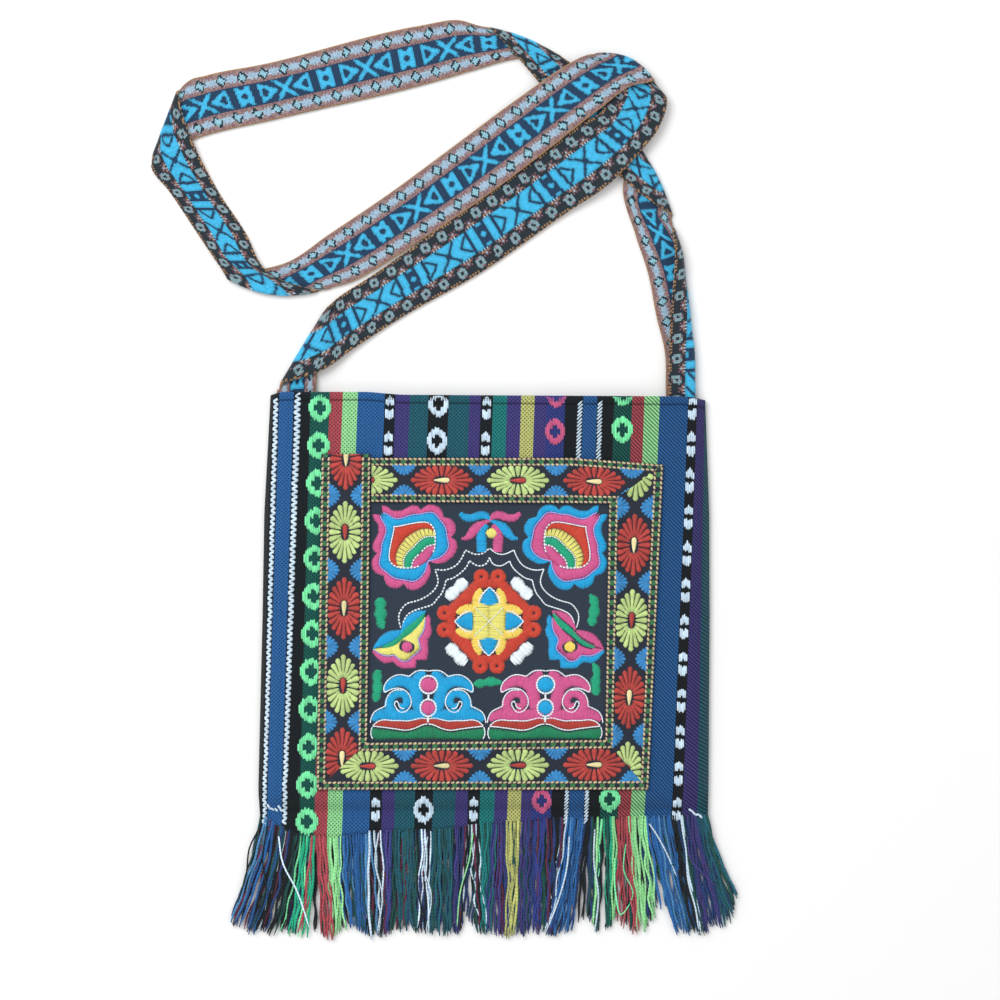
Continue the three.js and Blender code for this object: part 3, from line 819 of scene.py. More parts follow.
def striped_twill():
    """Handwoven cotton twill: matt dyed warp with a black weft, whose slanted lines are 1.5 mm apart."""
    material, tree, shader, colour, place = new_material("striped_cotton_twill", roughness=0.85, sheen=0.05)
    falling = bands(tree, place, period=0.15, turn=45, distortion=0.7)
    rising = bands(tree, place, period=0.15, turn=-45, distortion=0.7)
    spots = add_node(tree, "ShaderNodeMath", {0: falling, 1: rising}, operation="MAXIMUM").outputs[0]
    across = add_node(tree, "ShaderNodeSeparateXYZ", {"Vector": place}).outputs[0]
    right = add_node(tree, "ShaderNodeMapRange", {
        "Value": across, "From Min": TWILL_CHANGE[0], "From Max": TWILL_CHANGE[1]}).outputs[0]
    lines = add_node(tree, "ShaderNodeMix", {
        "Factor": right, MIX_FLOAT_A: spots, MIX_FLOAT_B: rising}, data_type="FLOAT").outputs[0]
    fibre = add_node(tree, "ShaderNodeTexNoise", {
        "Vector": place, "Scale": 14.0, "Detail": 3.0, "Roughness": 0.6}).outputs[0]
    shade = add_node(tree, "ShaderNodeMath", {0: fibre, 1: lines}, operation="MULTIPLY").outputs[0]
    warp = bands(tree, place, period=0.08, turn=0)
    height = add_node(
        tree, "ShaderNodeMath", {0: warp, 1: 0.3, 2: lines}, operation="MULTIPLY_ADD").outputs[0]
    finish_weave(tree, shader, colour, shade, height, low=0.2, high=2.1, bump=0.35)
    return material


def plain_weave(name, roughness, sheen, period, low, high, bump):
    """Plain woven yarn: fine ribs both ways, a thread apart, with a mottled dye."""
    material, tree, shader, colour, place = new_material(name, roughness, sheen)
    weft = bands(tree, place, period, turn=90)
    warp = bands(tree, place, period, turn=0)
    crossing = add_node(tree, "ShaderNodeMath", {0: weft, 1: warp}, operation="MULTIPLY").outputs[0]
    fibre = add_node(tree, "ShaderNodeTexNoise", {
        "Vector": place, "Scale": 9.0, "Detail": 3.0, "Roughness": 0.6}).outputs[0]
    shade = add_node(
        tree, "ShaderNodeMath", {0: crossing, 1: 0.5, 2: fibre}, operation="MULTIPLY_ADD").outputs[0]
    finish_weave(tree, shader, colour, shade, crossing, low, high, bump)
    return material


def twisted_yarn(name, roughness, sheen, ply, low, high, bump):
    """Twisted yarn or floss: plies slant round each strand, and the dye varies from one to the next."""
    material, tree, shader, colour, place = new_material(name, roughness, sheen)
    plies = bands(tree, place, ply, turn=55, distortion=0.8)
    fibre = add_node(tree, "ShaderNodeTexNoise", {
        "Vector": place, "Scale": 3.0, "Detail": 2.0, "Roughness": 0.6}).outputs[0]
    shade = add_node(
        tree, "ShaderNodeMath", {0: plies, 1: 0.35, 2: fibre}, operation="MULTIPLY_ADD").outputs[0]
    finish_weave(tree, shader, colour, shade, plies, low, high, bump)
    return material


# Striped cloth

def stripe_columns():
    """The cloth's column lines: x at the top and at the foot, and the stripe of each column."""
    tops = [SIDE_SEAMS[-1, 1]]
    feet = [SIDE_SEAMS[1, 1]]
    stripes = []
    for stripe, (_, _, top, foot) in enumerate(STRIPES):
        first = (tops[-1], feet[-1])
        parts = max(int(round((top - first[0]) / COLUMN_WIDTH)), 1)
        for part in range(1, parts + 1):
            tops.append(first[0] + (top - first[0]) * part / parts)
            feet.append(first[1] + (foot - first[1]) * part / parts)
            stripes.append(stripe)
    return np.array(tops), np.array(feet), np.array(stripes)


def stripe_share(y):
    """How far up the stripes a height is, from 0 at their foot to 1 at their top."""
    return (y - STRIPE_FOOT_Y) / (STRIPE_TOP_Y - STRIPE_FOOT_Y)


def stripe_edges(y):
    """x of every stripe's left edge, and of the last one's right edge, at a height up the cloth."""
    tops = np.array([SIDE_SEAMS[-1, 1], *[row[2] for row in STRIPES]])
    feet = np.array([SIDE_SEAMS[1, 1], *[row[3] for row in STRIPES]])
    return feet + (tops - feet) * stripe_share(y)


def panel(height, hem):
    """A panel's rows of points from the end of the weave to the mouth, its stripes and its weave places."""
    tops, feet, stripes = stripe_columns()
    mouth = np.interp(tops, *MOUTH_EDGE.T)
    weave_end = np.interp(feet, *WEAVE_END.T)
    shoulder_top = BOTTOM_SEAM_Y + SHOULDER
    hem_foot = mouth - hem[0][0]
    levels = [weave_end + (BOTTOM_SEAM_Y - weave_end) * share for share in (0, 0.2, 0.5, 0.8, 1)]
    levels += [np.full(len(tops), BOTTOM_SEAM_Y + SHOULDER * share) for share in (0.12, 0.3, 0.6, 1)]
    levels += [shoulder_top + (hem_foot - shoulder_top) * (row / BODY_ROWS) for row in range(1, BODY_ROWS)]
    lifts = np.zeros(len(levels) + len(hem))
    lifts[len(levels):] = [lift for _, lift in hem]
    levels += [mouth - below for below, _ in hem]
    y = np.array(levels)
    x = feet + (tops - feet) * stripe_share(y)
    x[:, 0] = np.interp(y[:, 0], SIDE_SEAMS[:, 0], SIDE_SEAMS[:, 1])
    x[:, -1] = np.interp(y[:, -1], SIDE_SEAMS[:, 0], SIDE_SEAMS[:, 2])
    points = np.stack([x, y, height(x, y) + lifts[:, None]], -1)
    places = np.stack([np.broadcast_to((tops + feet) / 2, x.shape), y], -1) / CM
    return points, stripes, places


def striped_panel(name, height, hem, node):
    """One wall of the pouch as a piece of striped cloth."""
    settings = bpy.context.scene.bag_cloth
    points, stripes, places = panel(height, hem)
    dyes = yarns(settings, [row[0] for row in STRIPES])[stripes]
    shade = np.ones((len(points) - 1, 1, 1))
    # Painted shade: the dye of the hem's rows in its groove is darkened
    if hem == HEM:
        first, last = (len(shade) - len(hem) + row for row in HEM_GROOVE)
        shade[first:last] = HEM_GROOVE_PAINTED_SHADE
    mesh = cloth_grid(name, points, dyes * shade, places)
    material = bpy.data.materials.get("striped_cotton_twill") or striped_twill()
    return thicken(piece(name, mesh, material, "striped_cloth", node), settings.thickness)


class BAG_OT_back_cloth(bpy.types.Operator):
    """Adds the back wall of the pouch"""
    bl_idname = "bag.back_cloth"
    bl_label = "Back cloth"

    def execute(self, context):
        wall = striped_panel("back_cloth", lambda x, y: np.full(x.shape, CLOTH), FLAT_HEM, "back_panel")
        return {"FINISHED"}


class BAG_OT_front_cloth(bpy.types.Operator):
    """Adds the front wall of the pouch, domed over the hollow"""
    bl_idname = "bag.front_cloth"
    bl_label = "Front cloth"

    def execute(self, context):
        wall = striped_panel("front_cloth", front_height, HEM, "front_panel")
        return {"FINISHED"}


def chart_runs(chart):
    """Each run of marks down a chart's columns: column, first row, last row."""
    runs = []
    for column in range(len(chart[0])):
        marks = "".join(row[column] for row in chart) + "."
        start = None
        for row, mark in enumerate(marks):
            if mark == "#" and start is None:
                start = row
            elif mark != "#" and start is not None:
                runs.append((column, start, row))
                start = None
    return runs


def hidden(x, y):
    """Whether the ribbon frame covers a place on the front."""
    left, right, low, high = COVERED
    return left < x < right and low < y < high


def motif_floats(generator):
    """Warp floats of the oval and tuft motifs: their ends as x, y, x, y, their widths and their yarns."""
    ends, widths, names = [], [], []
    for stripe, (_, motif, _, _) in enumerate(STRIPES):
        if motif not in MOTIFS:
            continue
        charts, yarn, width, height, y, steps = MOTIFS[motif]
        turn = 0
        while y > BOTTOM_SEAM_Y - MOTIF_REACH:
            chart = charts[turn % len(charts)]
            middle = stripe_edges(y)[stripe:stripe + 2].mean()
            mouth = np.interp(middle, *MOUTH_EDGE.T)
            cell = (width / len(chart[0]), height / len(chart))
            for column, first, last in chart_runs(chart):
                x = middle + (column - (len(chart[0]) - 1) / 2) * cell[0]
                ragged = generator.normal(0, 0.3, 2)
                upper = min(y + height / 2 - first * cell[1] + ragged[0], mouth - FLOAT_MOUTH_ROOM)
                lower = y + height / 2 - last * cell[1] + ragged[1]
                if upper - lower > FLOAT_SHORTEST and not hidden(x, y):
                    ends.append((x, lower, x, upper))
                    widths.append(cell[0] * FLOAT_OVERLAP)
                    names.append(yarn)
            y -= steps[turn % len(steps)]
            turn += 1
    return ends, widths, names


def zigzag_floats(generator):
    """White floats beside the blue stripes, as motif_floats has them: zigzags on the left, then slashes."""
    ends, widths = [], []
    for stripe, (_, motif, _, _) in enumerate(STRIPES):
        if motif != "zigzag":
            continue
        y = ZIGZAG_TOP_Y
        while y > BOTTOM_SEAM_Y - ZIGZAG_REACH:
            left, right = stripe_edges(y)[stripe:stripe + 2]
            inset, climb, width, step = ZIGZAG if left < 0 else SLASH
            mouth = np.interp(left, *MOUTH_EDGE.T)
            seen = y + ZIGZAG_MOUTH_ROOM < mouth and not hidden((left + right) / 2, y)
            wander = generator.normal(0, 0.12)
            from_x = left + inset + wander
            to_x = right - inset + wander
            if seen:
                ends.append((from_x, y - climb, to_x, y))
                widths.append(width)
            if seen and left < 0:
                ends.append((to_x, y - 2 * climb, from_x, y - climb))
                widths.append(width)
            y -= step
    return ends, widths, ["white"] * len(ends)


def gather_paths(generator):
    """Short slanted stitches that gather the lower corners."""
    x, y = (np.array(column)[:, None] for column in zip(*GATHERS))
    reach = generator.uniform(1.1, 1.9, x.shape) * np.array([-1, -0.7, 0, 0.7, 1])
    lean = generator.normal(0, 0.5, x.shape)
    lifts = np.array([-0.2, 0.3, 0.5, 0.3, -0.2])
    return on_front(x + reach * GATHER_SLANT[0], y + reach * lean + reach * GATHER_SLANT[1], lifts)


class BAG_OT_woven_motifs(bpy.types.Operator):
    """Adds the raised floats of the motifs woven into the stripes"""
    bl_idname = "bag.woven_motifs"
    bl_label = "Woven motifs"

    def execute(self, context):
        settings = context.scene.bag_cloth
        generator = np.random.default_rng(11)
        lift = settings.float_lift / MM
        shares = np.array([0, 0.12, 0.5, 0.88, 1])
        lifts = np.array([-0.25, lift, lift * 1.3, lift, -0.25])
        meshes = []
        for chart_floats, shade in ((motif_floats, (0.82, 1.1)), (zigzag_floats, (0.8, 1))):
            ends, widths, names = chart_floats(generator)
            x, y = along_ends(ends, shares)
            dyes = yarns(settings, names) * generator.uniform(*shade, (len(names), 1))
            meshes.append(strand_mesh(
                "floats", on_front(x, y, lifts), dyes, widths, height=0.7, taper=(0.7, 1, 1, 1, 0.7)))
        paths = gather_paths(generator)
        dyes = yarns(settings, ["white"] * len(paths))
        meshes.append(strand_mesh("floats", paths, dyes, width=1.3, height=0.9, taper=(0.6, 1, 1, 1, 0.6)))
        # Woven-in cotton floats: fine matt plies, 0.6 mm apart
        material = twisted_yarn(
            "cotton_warp_float", roughness=0.75, sheen=0.15, ply=0.06, low=0.6, high=1.3, bump=0.08)
        piece("woven_motifs", joined("woven_motifs", meshes), material, "striped_cloth")
        return {"FINISHED"}


# Patch and embroidery

# Patch: y of its foot and top, x of its sides at each, and points along a side
PATCH_Y = (-78.5, 59.5)
PATCH_LEFT = (-67.8, -66)
PATCH_RIGHT = (70.4, 72.4)
PATCH_POINTS = 47
# Where the charts' middle lies on the bag, how they lean, and the height at which they don't
CHART_SHIFT = 2.6
CHART_LEAN = 0.0137
CHART_LEVEL_Y = -10.0
# Span of a full stitch and range of its puff, then shares: of the steps for satin, of a satin stitch for
# a slit, and of a pitch for the last running stitch
FULL_STITCH = 3.5
PUFF_RANGE = (0.45, 1.3)
SATIN_SPARE = 0.85
SLIT_LENGTH = 0.75
RUNNING_END = 0.4

# Charts in millimetres from each motif's own place on the square, drawn. A tulip's ribs: x, y of
# its outer edge, of the line between its two colours, and of its core
TULIP_RIBS = (
    (0, 0, 0, 0, 0, 0), (6.5, -1.5, 4, 1, 1.9, 3.2), (10.7, 0.2, 7.3, 2.6, 2.7, 4.8),
    (14.5, 3.6, 10.3, 5.7, 3.4, 6.6), (16, 7.4, 11.2, 8.2, 3.7, 8.6), (15.4, 10.7, 10.9, 10.6, 3.8, 10.4),
    (12.6, 13, 10.3, 13, 3.8, 12.4), (15, 16.6, 9.9, 16, 3.7, 14.8), (14.5, 20.4, 8.9, 19.2, 3.3, 16.8),
    (12.4, 23, 7.4, 21.2, 2.6, 18.4), (8.4, 24.2, 5.8, 23, 1.7, 19.7), (6.5, 28.8, 3.8, 25.6, 0.4, 20.7),
    (3.6, 30.7, 1.9, 26.7, -1.1, 21.3), (-0.2, 31, -1.1, 26.6, -3, 21.4),
    (-2.7, 29.5, -3.2, 26.1, -4.8, 21.3), (-4, 28, -5.2, 25.7, -6.6, 21.1),
    (-6.1, 30.3, -7.3, 25.6, -8.5, 20.7), (-8.6, 30.7, -9.5, 25.4, -10.3, 20.4),
    (-11.6, 29.5, -12.2, 24.4, -12.2, 20), (-14.5, 28, -15, 23.5, -14, 19.6),
    (-17.5, 27.6, -17.7, 23.2, -15.8, 19.2), (-20.4, 28, -20.4, 24.2, -17.5, 19),
    (-23, 30.1, -23.2, 26, -18.6, 18.8), (-25.5, 30.8, -25, 26.5, -19.2, 19),
)
TULIP_NOTCHES = (6, 10, 15)
TULIP_TIP = (-26, 26, -19.1, 19.1)
TULIP_RED_TIP = (-19.2, 19.2)
# Ribs where the red layer and the core's white line start, and where that line turns into a cord
TULIP_RED_FROM = 7
TULIP_CORE_FROM = 2
TULIP_CORE_TURN = 11
TULIP_YELLOW = ((3.4, 16.8), (-1.9, 17.9), (-7, 16.4), (-11.5, 13.4), (-12.6, 12.6))
TULIP_GREEN = ((3.6, 13.3), (-1.1, 13.3), (-6.1, 9.9), (-7.8, 7.8))
TULIP_LEAF = ((3.6, 9.1), (-0.2, 8.2), (-4.4, 4.4))
TULIP_BASE = ((3.4, 6.1), (1.9, 3.2), (0, 0))
TULIP_PLACE = (-33.7, 23.7)
# Strokes: x, y, width
BOW_TOP = (
    (-16.3, 3.5, 2.6), (-13.1, 1.2, 4.2), (-9.3, 1.3, 4.4), (-5.6, 2.7, 4.6), (-2.4, 2.4, 4.2), (0, 0, 2),
    (3.5, -1.6, 3), (7.5, -4.3, 5.6), (10.1, -7.5, 5), (12.8, -9.9, 3), (15.2, -10.1, 1.4),
)
BOW_TAIL = ((-1.9, -2.9, 3.2), (-4.5, -6.7, 5.2), (-4.5, -11.7, 5.8), (-4.3, -17.3, 5.4))
BOW_PLACE = (0, 46.2)
BOW_KNOT = (0.8, 39)
BOW_KNOT_RADII = (2.8, 2.8)
COLLAR_OUTER = (
    (-48.1, -13), (-49.1, -9.7), (-49.2, -5.4), (-47.7, -2.4), (-45.2, 0.2), (-40.2, 1.7), (-36.9, 2.9),
    (-32.7, 5.4), (-29.4, 8.8), (-28.1, 11.7), (-28.7, 16), (-30, 19.3), (-26.2, 18.7), (-22.4, 19.3),
    (-18.1, 21.5), (-15.3, 25.2), (-13.2, 29.9), (-10.3, 28.2), (-6.9, 27.3), (-3.9, 27.9), (0, 30.7),
)
COLLAR_OUTER_CORNERS = (11, 16)
COLLAR_INNER = (
    (-47.3, -14), (-46.6, -9.4), (-44.4, -5.6), (-41.1, -3.6), (-35.1, -1.6), (-30.5, 0.2), (-28.5, 2.9),
    (-26.3, 5.4), (-24.8, 8.8), (-23.6, 13.4), (-20.1, 14.2), (-17.3, 16), (-14.3, 18.5), (-11.8, 21.8),
    (-11.1, 23.9), (-8.9, 22.3), (-6.8, 21.2), (-3.8, 21.2), (-1.7, 22.3), (0, 25.6),
)
COLLAR_INNER_CORNERS = (9, 14)
FLOWER_PLACE = (0.25, -9.4)
FLOWER_CURL = ((4, 22.4, 5), (6.4, 20.4, 6), (9.6, 16.6, 7), (12.4, 12.4, 8.6))
FLOWER_BRIDGE = ((-5.5, 20.2, 4.6), (0, 20.8, 5.4), (5.5, 20.2, 4.6))
FLOWER_ROSETTES = ((4.6, 24.4), (-4.6, 24.4))
ROSETTE_RADII = (0.8, 4.4)
FLOWER_PETAL = ((6.8, 8.4, 5), (7.2, 11, 5.4), (6.6, 13.6, 5.8), (5.6, 15.8, 5.4), (5.2, 18, 2))
FLOWER_WEDGE = ((0, 18.6), (1.8, 16.8), (3.6, 14.6), (5.1, 12), (5.5, 9.4))
FLOWER_COMB = ((-5.9, 9.6), (-5.4, 12), (-3.8, 14.8), (0, 19), (3.8, 14.8), (5.4, 12), (5.9, 9.6))
FLOWER_COMB_CORNERS = (3,)
# The comb's teeth: x of each, the height and slope of their line, and their length
FLOWER_TEETH = (1.4, 2.6, 3.8, 5)
FLOWER_TEETH_TOP = 18.6
FLOWER_TEETH_SLOPE = 1.1
FLOWER_TOOTH = 1.5
# Half the square core's width, how far its two halves lap, and the lines across it
FLOWER_CORE = 9.6
FLOWER_CORE_LAP = 0.7
FLOWER_CROSSES = (((-8, -8), (8, 8)), ((-8, 8), (8, -8)))
FLOWER_LEAF = (
    (12.6, 22.8, 4.5), (14.6, 21.2, 7), (16.4, 19.3, 6.6), (17.6, 17.9, 5.4), (19, 16.6, 6.6),
    (20.8, 14.8, 7), (22.4, 13.3, 4.5),
)
BLOOM_PLACE = (-48.2, -14)
BLOOM_WING_TOP = ((0.5, 0.5), (1.3, 4.3), (4.3, 8.1), (8.6, 10.4), (13.4, 10.6))
BLOOM_WING_INNER = ((0.8, -2.2), (3.5, 0.4), (7.3, 3.6), (10.6, 6.6), (12.6, 8.8))
BLOOM_GREEN = (
    (-9.6, -9.6, 1.5), (-5.8, -8.3, 2.8), (-2.3, -6.3, 3), (0.8, -3.3, 3.3), (3.5, -0.8, 5), (7.3, 2.3, 5),
    (10.6, 5.6, 3.8), (12.6, 8.8, 1.5),
)
BLOOM_LOW_TOP = ((0, 0), (-3.8, -0.3), (-7.1, -1), (-10.9, -3.5), (-13.4, -6.8), (-14.9, -9.9))
BLOOM_LOW_FOOT = ((0.8, -2.6), (-2.3, -5.2), (-5.8, -7.4), (-9.6, -9), (-14.7, -10.4))
BLOOM_MIDRIB = (
    (-14.7, -10.6), (-9.6, -9.6), (-5.8, -8.6), (-2.3, -6.8), (0.8, -4), (3.5, -1.6), (7.3, 1.4),
    (10.6, 4.8), (13.2, 6.8),
)
BLOOM_OUTER = (
    (-15.2, -12.6), (-13.4, -14.9), (-10.9, -17.2), (-8.3, -18.4), (-3.8, -17.9), (-1.8, -19.7),
    (0.3, -21), (4.8, -21.2), (8.6, -21), (9.1, -16.4), (14.4, -16.7), (15.2, -13.9), (15.2, -8.8),
    (15.4, -5.1), (16.9, -2.3), (17.2, 0.3), (16.4, 2.8), (16.4, 5.8), (15.4, 8.1),
)
BLOOM_OUTER_CORNERS = (8, 9, 10, 13)
BLOOM_INNER = (
    (-14.7, -10.9), (-12.4, -12.5), (-10.4, -13.6), (-6.6, -14.4), (-2.8, -14.1), (-0.8, -16.2),
    (2.3, -17.4), (4.8, -16.7), (6.3, -14.7), (7.5, -14), (9.8, -12.1), (11.1, -10.1), (10.4, -7.8),
    (9.8, -5.1), (11.6, -2.5), (12.6, -0.4), (13.2, 2), (13.4, 4.3), (13.4, 6),
)
# Dark slits beside the green stroke and the side each lies on, then the ball in its hole
BLOOM_SLITS = ((BLOOM_WING_INNER, 1), (BLOOM_LOW_FOOT[:-1], 1), (BLOOM_MIDRIB[1:7], -1))
BLOOM_SLIT_SHIFT = (-0.7, 0.9)
BLOOM_BALL = (3.5, -9.3)
BLOOM_HOLE_RADII = (4.2, 4.6)
BLOOM_BALL_RADII = (2.9, 3.4)
# Green leaves, in the bag's own x and y
LEAVES = (
    ((-56.6, 3.4, 3.6), (-56.8, 0.8, 6.8), (-56.9, -2.2, 5.2), (-56.7, -5.4, 7.6), (-56.9, -8.4, 4.8),
     (-56.4, -10.8, 5.4), (-55, -13, 2)),
    ((58.3, 5.2, 1.5), (60.2, 2.4, 5.4), (60.9, -0.6, 4.4), (60.5, -4, 6.6), (59.8, -7, 4.6),
     (59.3, -9.6, 5.6), (58.9, -11.6, 2.6)),
    ((-57.8, -36.4, 3.4), (-58.5, -39, 5.8), (-58.7, -42, 4.6), (-58.3, -45.4, 6.2), (-58.7, -48.6, 4.6),
     (-59.2, -51.2, 5), (-59.4, -53.4, 2)),
    ((60, -32.5, 1.5), (61.6, -35.6, 4.6), (61.9, -38.6, 3.8), (61.2, -42, 5.8), (61.2, -45.4, 4.6),
     (61.5, -48, 5.4), (61.6, -49.6, 3)),
    ((-5.6, -43.7, 1.6), (-2.6, -43.5, 5.2), (0.6, -43, 4), (3.6, -42.4, 5.8), (6.4, -42.6, 4.2),
     (9.2, -42.9, 2.4)),
)
LOTUS_PLACES = ((-32.5, -73.9), (31.7, -73.9))
LOTUS_STROKES = (
    ((-2.3, 12.7, 6), (-4.9, 17.1, 7), (-6.7, 23.7, 7.4), (-7.1, 29.4, 6.6), (-5.8, 33.8, 6.2),
     (-2.3, 36.4, 3.6)),
    ((-6.7, 25.9, 6), (-10.2, 30.7, 7.4), (-14.6, 32, 6.8), (-18.9, 31.1, 6), (-22.5, 28.5, 4.4),
     (-24.4, 25.7, 1)),
    ((-18.5, 12.7, 5.6), (-21.1, 16.7, 5.6), (-21.1, 21.1, 5.2), (-18.5, 24.1, 4.4), (-15, 25, 4.4),
     (-11.9, 22.8, 4.6), (-11.9, 19.3, 4.4), (-14.1, 17.5, 3.2), (-15.7, 19.3, 1.4)),
    ((-30.3, 10.5, 3), (-26.4, 13.4, 6.4), (-19.8, 13, 7), (-11, 13, 7), (-2.3, 12.9, 5.5)),
)
LOTUS_RED_TOP = (
    (-30.3, 7.2), (-27.7, 9.6), (-24.6, 10.5), (-19.8, 10.1), (-15.4, 10.1), (-11, 9.9), (-7.1, 10.7),
    (-4, 11.6), (0, 11),
)
LOTUS_RED_FOOT = (
    (-30.3, 7), (-24.2, 6.4), (-17.6, 5.5), (-11.9, 4.8), (-6.7, 6.1), (-2.7, 7.9), (0, 8.3),
)
LOTUS_GREEN_TOP = ((-30.6, 6), *[(x, y - 1) for x, y in LOTUS_RED_FOOT[1:]])
LOTUS_GREEN_FOOT = ((-31, 3), (-30.3, 0.6), (-20, 0), (0, 0))
LOTUS_LINE = (
    (0, 37.3), (-3.2, 37.7), (-6.7, 37.3), (-9.3, 35.5), (-11, 34.2), (-13.7, 35.1), (-17.6, 35.1),
    (-21.1, 33.3), (-23.8, 30.3), (-24.6, 27.2), (-24.2, 25.4), (-20.7, 27.2), (-17.2, 27.9), (-13.7, 27.2),
    (-11, 25), (-9.5, 21.9), (-9.3, 19.7), (-10.6, 16.7), (-13.3, 14.7), (-15.9, 14.9), (-17.6, 17.1),
    (-18.7, 19.7), (-17.6, 21.1), (-16.5, 20.2), (-16.3, 18.4), (-14.6, 16.7), (-12.8, 16.7),
)
LOTUS_LINE_CORNERS = (4, 10)
LOTUS_FOOT_LINE = (
    (-14, 26.8), (-18.5, 26.8), (-21.6, 24.6), (-23.1, 21.5), (-23.4, 18), (-26.4, 16.7), (-29.5, 14.9),
    (-31.2, 11.8), (-31.7, 8.8),
)
LOTUS_FOOT_CORNERS = (4,)
LOTUS_END_LINE = ((-30.6, 6.6), (-31.3, 4.2), (-31, 1.4), (-30, -0.3))
LOTUS_CORDS = (((0, 24.4), (0, 21.9)), ((0, 12.4), (0, 9.2)))
# Discs on a lotus: height above its foot, ring radii, disc radii
LOTUS_DISCS = ((29.8, (4.9, 4.9), (4.2, 4.2)), (17.1, (4.4, 4.7), (3.7, 4)))


class Needlework:
    """Collects stitches as pairs of ends on the patch, then sews them as strands."""

    def __init__(self, settings, seed):
        self.settings = settings
        self.generator = np.random.default_rng(seed)
        self.rows = []
        self.dyes = []

    def add(self, starts, ends, dye_name, width, lift, puff):
        """Stitches from starts to ends, with their middles puffed up."""
        count = len(starts)
        shade = self.generator.uniform(0.92, 1.05, (count, 1))
        self.dyes.append(np.tile(tuple(getattr(self.settings, dye_name)), (count, 1)) * shade)
        sizes = np.tile((width, lift, puff), (count, 1))
        self.rows.append(np.hstack([starts, ends, sizes]))

    def satin(self, rails, dye_name, lift=0.0):
        """Satin stitches side by side between two rails given as x, y, x, y."""
        rails = np.asarray(rails, float)
        step = self.settings.stitch_step / MM
        gone = travel((rails[:, :2] + rails[:, 2:]) / 2)
        reach = np.maximum(travel(rails[:, :2])[-1], travel(rails[:, 2:])[-1])
        places = np.linspace(0, gone[-1], max(int(reach * SATIN_SPARE / step), 2) + 1)
        rails = at_places(rails, gone, places)
        loose = self.generator.normal(0, 0.09, rails.shape)
        starts, ends = np.hsplit(rails + loose, 2)
        self.add(starts, ends, dye_name, self.settings.stitch_width / MM, lift, puff=0.45)

    def stroke(self, rows, dye_name, lift=0.0):
        """Satin stitches across a stroke given as x, y, width."""
        line = spline(rows)
        along = np.gradient(line[:, :2], axis=0)
        along /= np.linalg.norm(along, axis=1, keepdims=True) + 1e-9
        aside = np.stack([-along[:, 1], along[:, 0]], 1) * line[:, 2:3] / 2
        self.satin(np.hstack([line[:, :2] + aside, line[:, :2] - aside]), dye_name, lift)

    def between(self, outer, inner, dye_name, outer_corners=(), inner_corners=(), lift=0.0):
        """Satin stitches between two lines of points."""
        shares = np.linspace(0, 1, 80)
        sides = (at_shares(outer, shares, outer_corners), at_shares(inner, shares, inner_corners))
        self.satin(np.hstack(sides), dye_name, lift)

    def slits(self, outer, inner, dye_name):
        """Thin dark gaps between some of the stitches laid from one line to another."""
        shares = np.linspace(0.08, 0.92, 7)
        starts = at_shares(outer, shares)
        ends = starts + (at_shares(inner, shares) - starts) * SLIT_LENGTH
        self.add(starts, ends, dye_name, width=0.35, lift=0.5, puff=0.25)

    def disc(self, centre, radii, dye_name, lift):
        """A round of satin stitches laid across."""
        turn = np.linspace(0.06, math.pi - 0.06, 24)
        x = centre[0] + radii[0] * np.cos(turn)
        y = radii[1] * np.sin(turn)
        self.satin(np.stack([x, centre[1] + y, x, centre[1] - y], 1), dye_name, lift)

    def cord(self, rows, dye_name, corners=(), lift=0.5):
        """A thin line of stitches end to end along a line of points."""
        self.running(rows, dye_name, corners, pitch=1.7, share=1.08, width=0.75, lift=lift)

    def running(self, rows, dye_name, corners=(), pitch=1.9, share=0.74, width=0.95, lift=0.5):
        """Running stitches along a line of points."""
        line = broken_spline(np.asarray(rows, float), corners)
        gone = travel(line)
        starts = np.arange(0, gone[-1] - pitch * RUNNING_END, pitch)
        first = at_places(line, gone, starts)
        last = at_places(line, gone, np.minimum(starts + pitch * share, gone[-1]))
        self.add(first, last, dye_name, width, lift, puff=0.3)

    def ring(self, centre, radii, dye_name, lift):
        """Running stitches round a disc."""
        turn = np.linspace(0, 2 * math.pi, 33)
        line = np.stack([centre[0] + radii[0] * np.cos(turn), centre[1] + radii[1] * np.sin(turn)], 1)
        self.running(line, dye_name, pitch=1.5, share=0.95, width=1.2, lift=lift)

    def rosette(self, centre, radii, dye_name, lift):
        """A ring of satin stitches laid from its eye outwards."""
        turn = np.linspace(0, 2 * math.pi, 41)
        way = np.stack([np.cos(turn), np.sin(turn)], 1)
        self.satin(np.hstack([centre + way * radii[1], centre + way * radii[0]]), dye_name, lift)

    def sew(self, name):
        """Makes the stitches one piece on the patch."""
        rows = np.vstack(self.rows)
        shares = np.array([0, 0.22, 0.5, 0.78, 1])
        shape = np.array([-0.1, 0.7, 1, 0.7, -0.1])
        span = np.hypot(rows[:, 2] - rows[:, 0], rows[:, 3] - rows[:, 1])[:, None]
        puff = rows[:, 6:7] * np.clip(span / FULL_STITCH, *PUFF_RANGE)
        x, y = along_ends(rows, shares)
        paths = on_front(x, y, GAP + PATCH + rows[:, 5:6] + puff * shape)
        mesh = strand_mesh(
            name, paths, np.vstack(self.dyes), rows[:, 4], height=0.55, taper=(0.6, 1, 1, 1, 0.6))
        # Rayon embroidery floss: smooth parallel fibres with a soft shine along each stitch
        material = bpy.data.materials.get("rayon_floss") or twisted_yarn(
            "rayon_floss", roughness=0.42, sheen=0.2, ply=0.05, low=0.7, high=1.2, bump=0.04)
        return piece(name, mesh, material, "embroidery")


def charted(points):
    """Chart points on the bag: the embroidery sits a little right of the middle and leans."""
    points = np.array(points, float)
    for column in range(0, points.shape[1] - 1, 2):
        points[:, column] += CHART_SHIFT + CHART_LEAN * (points[:, column + 1] - CHART_LEVEL_Y)
    return points


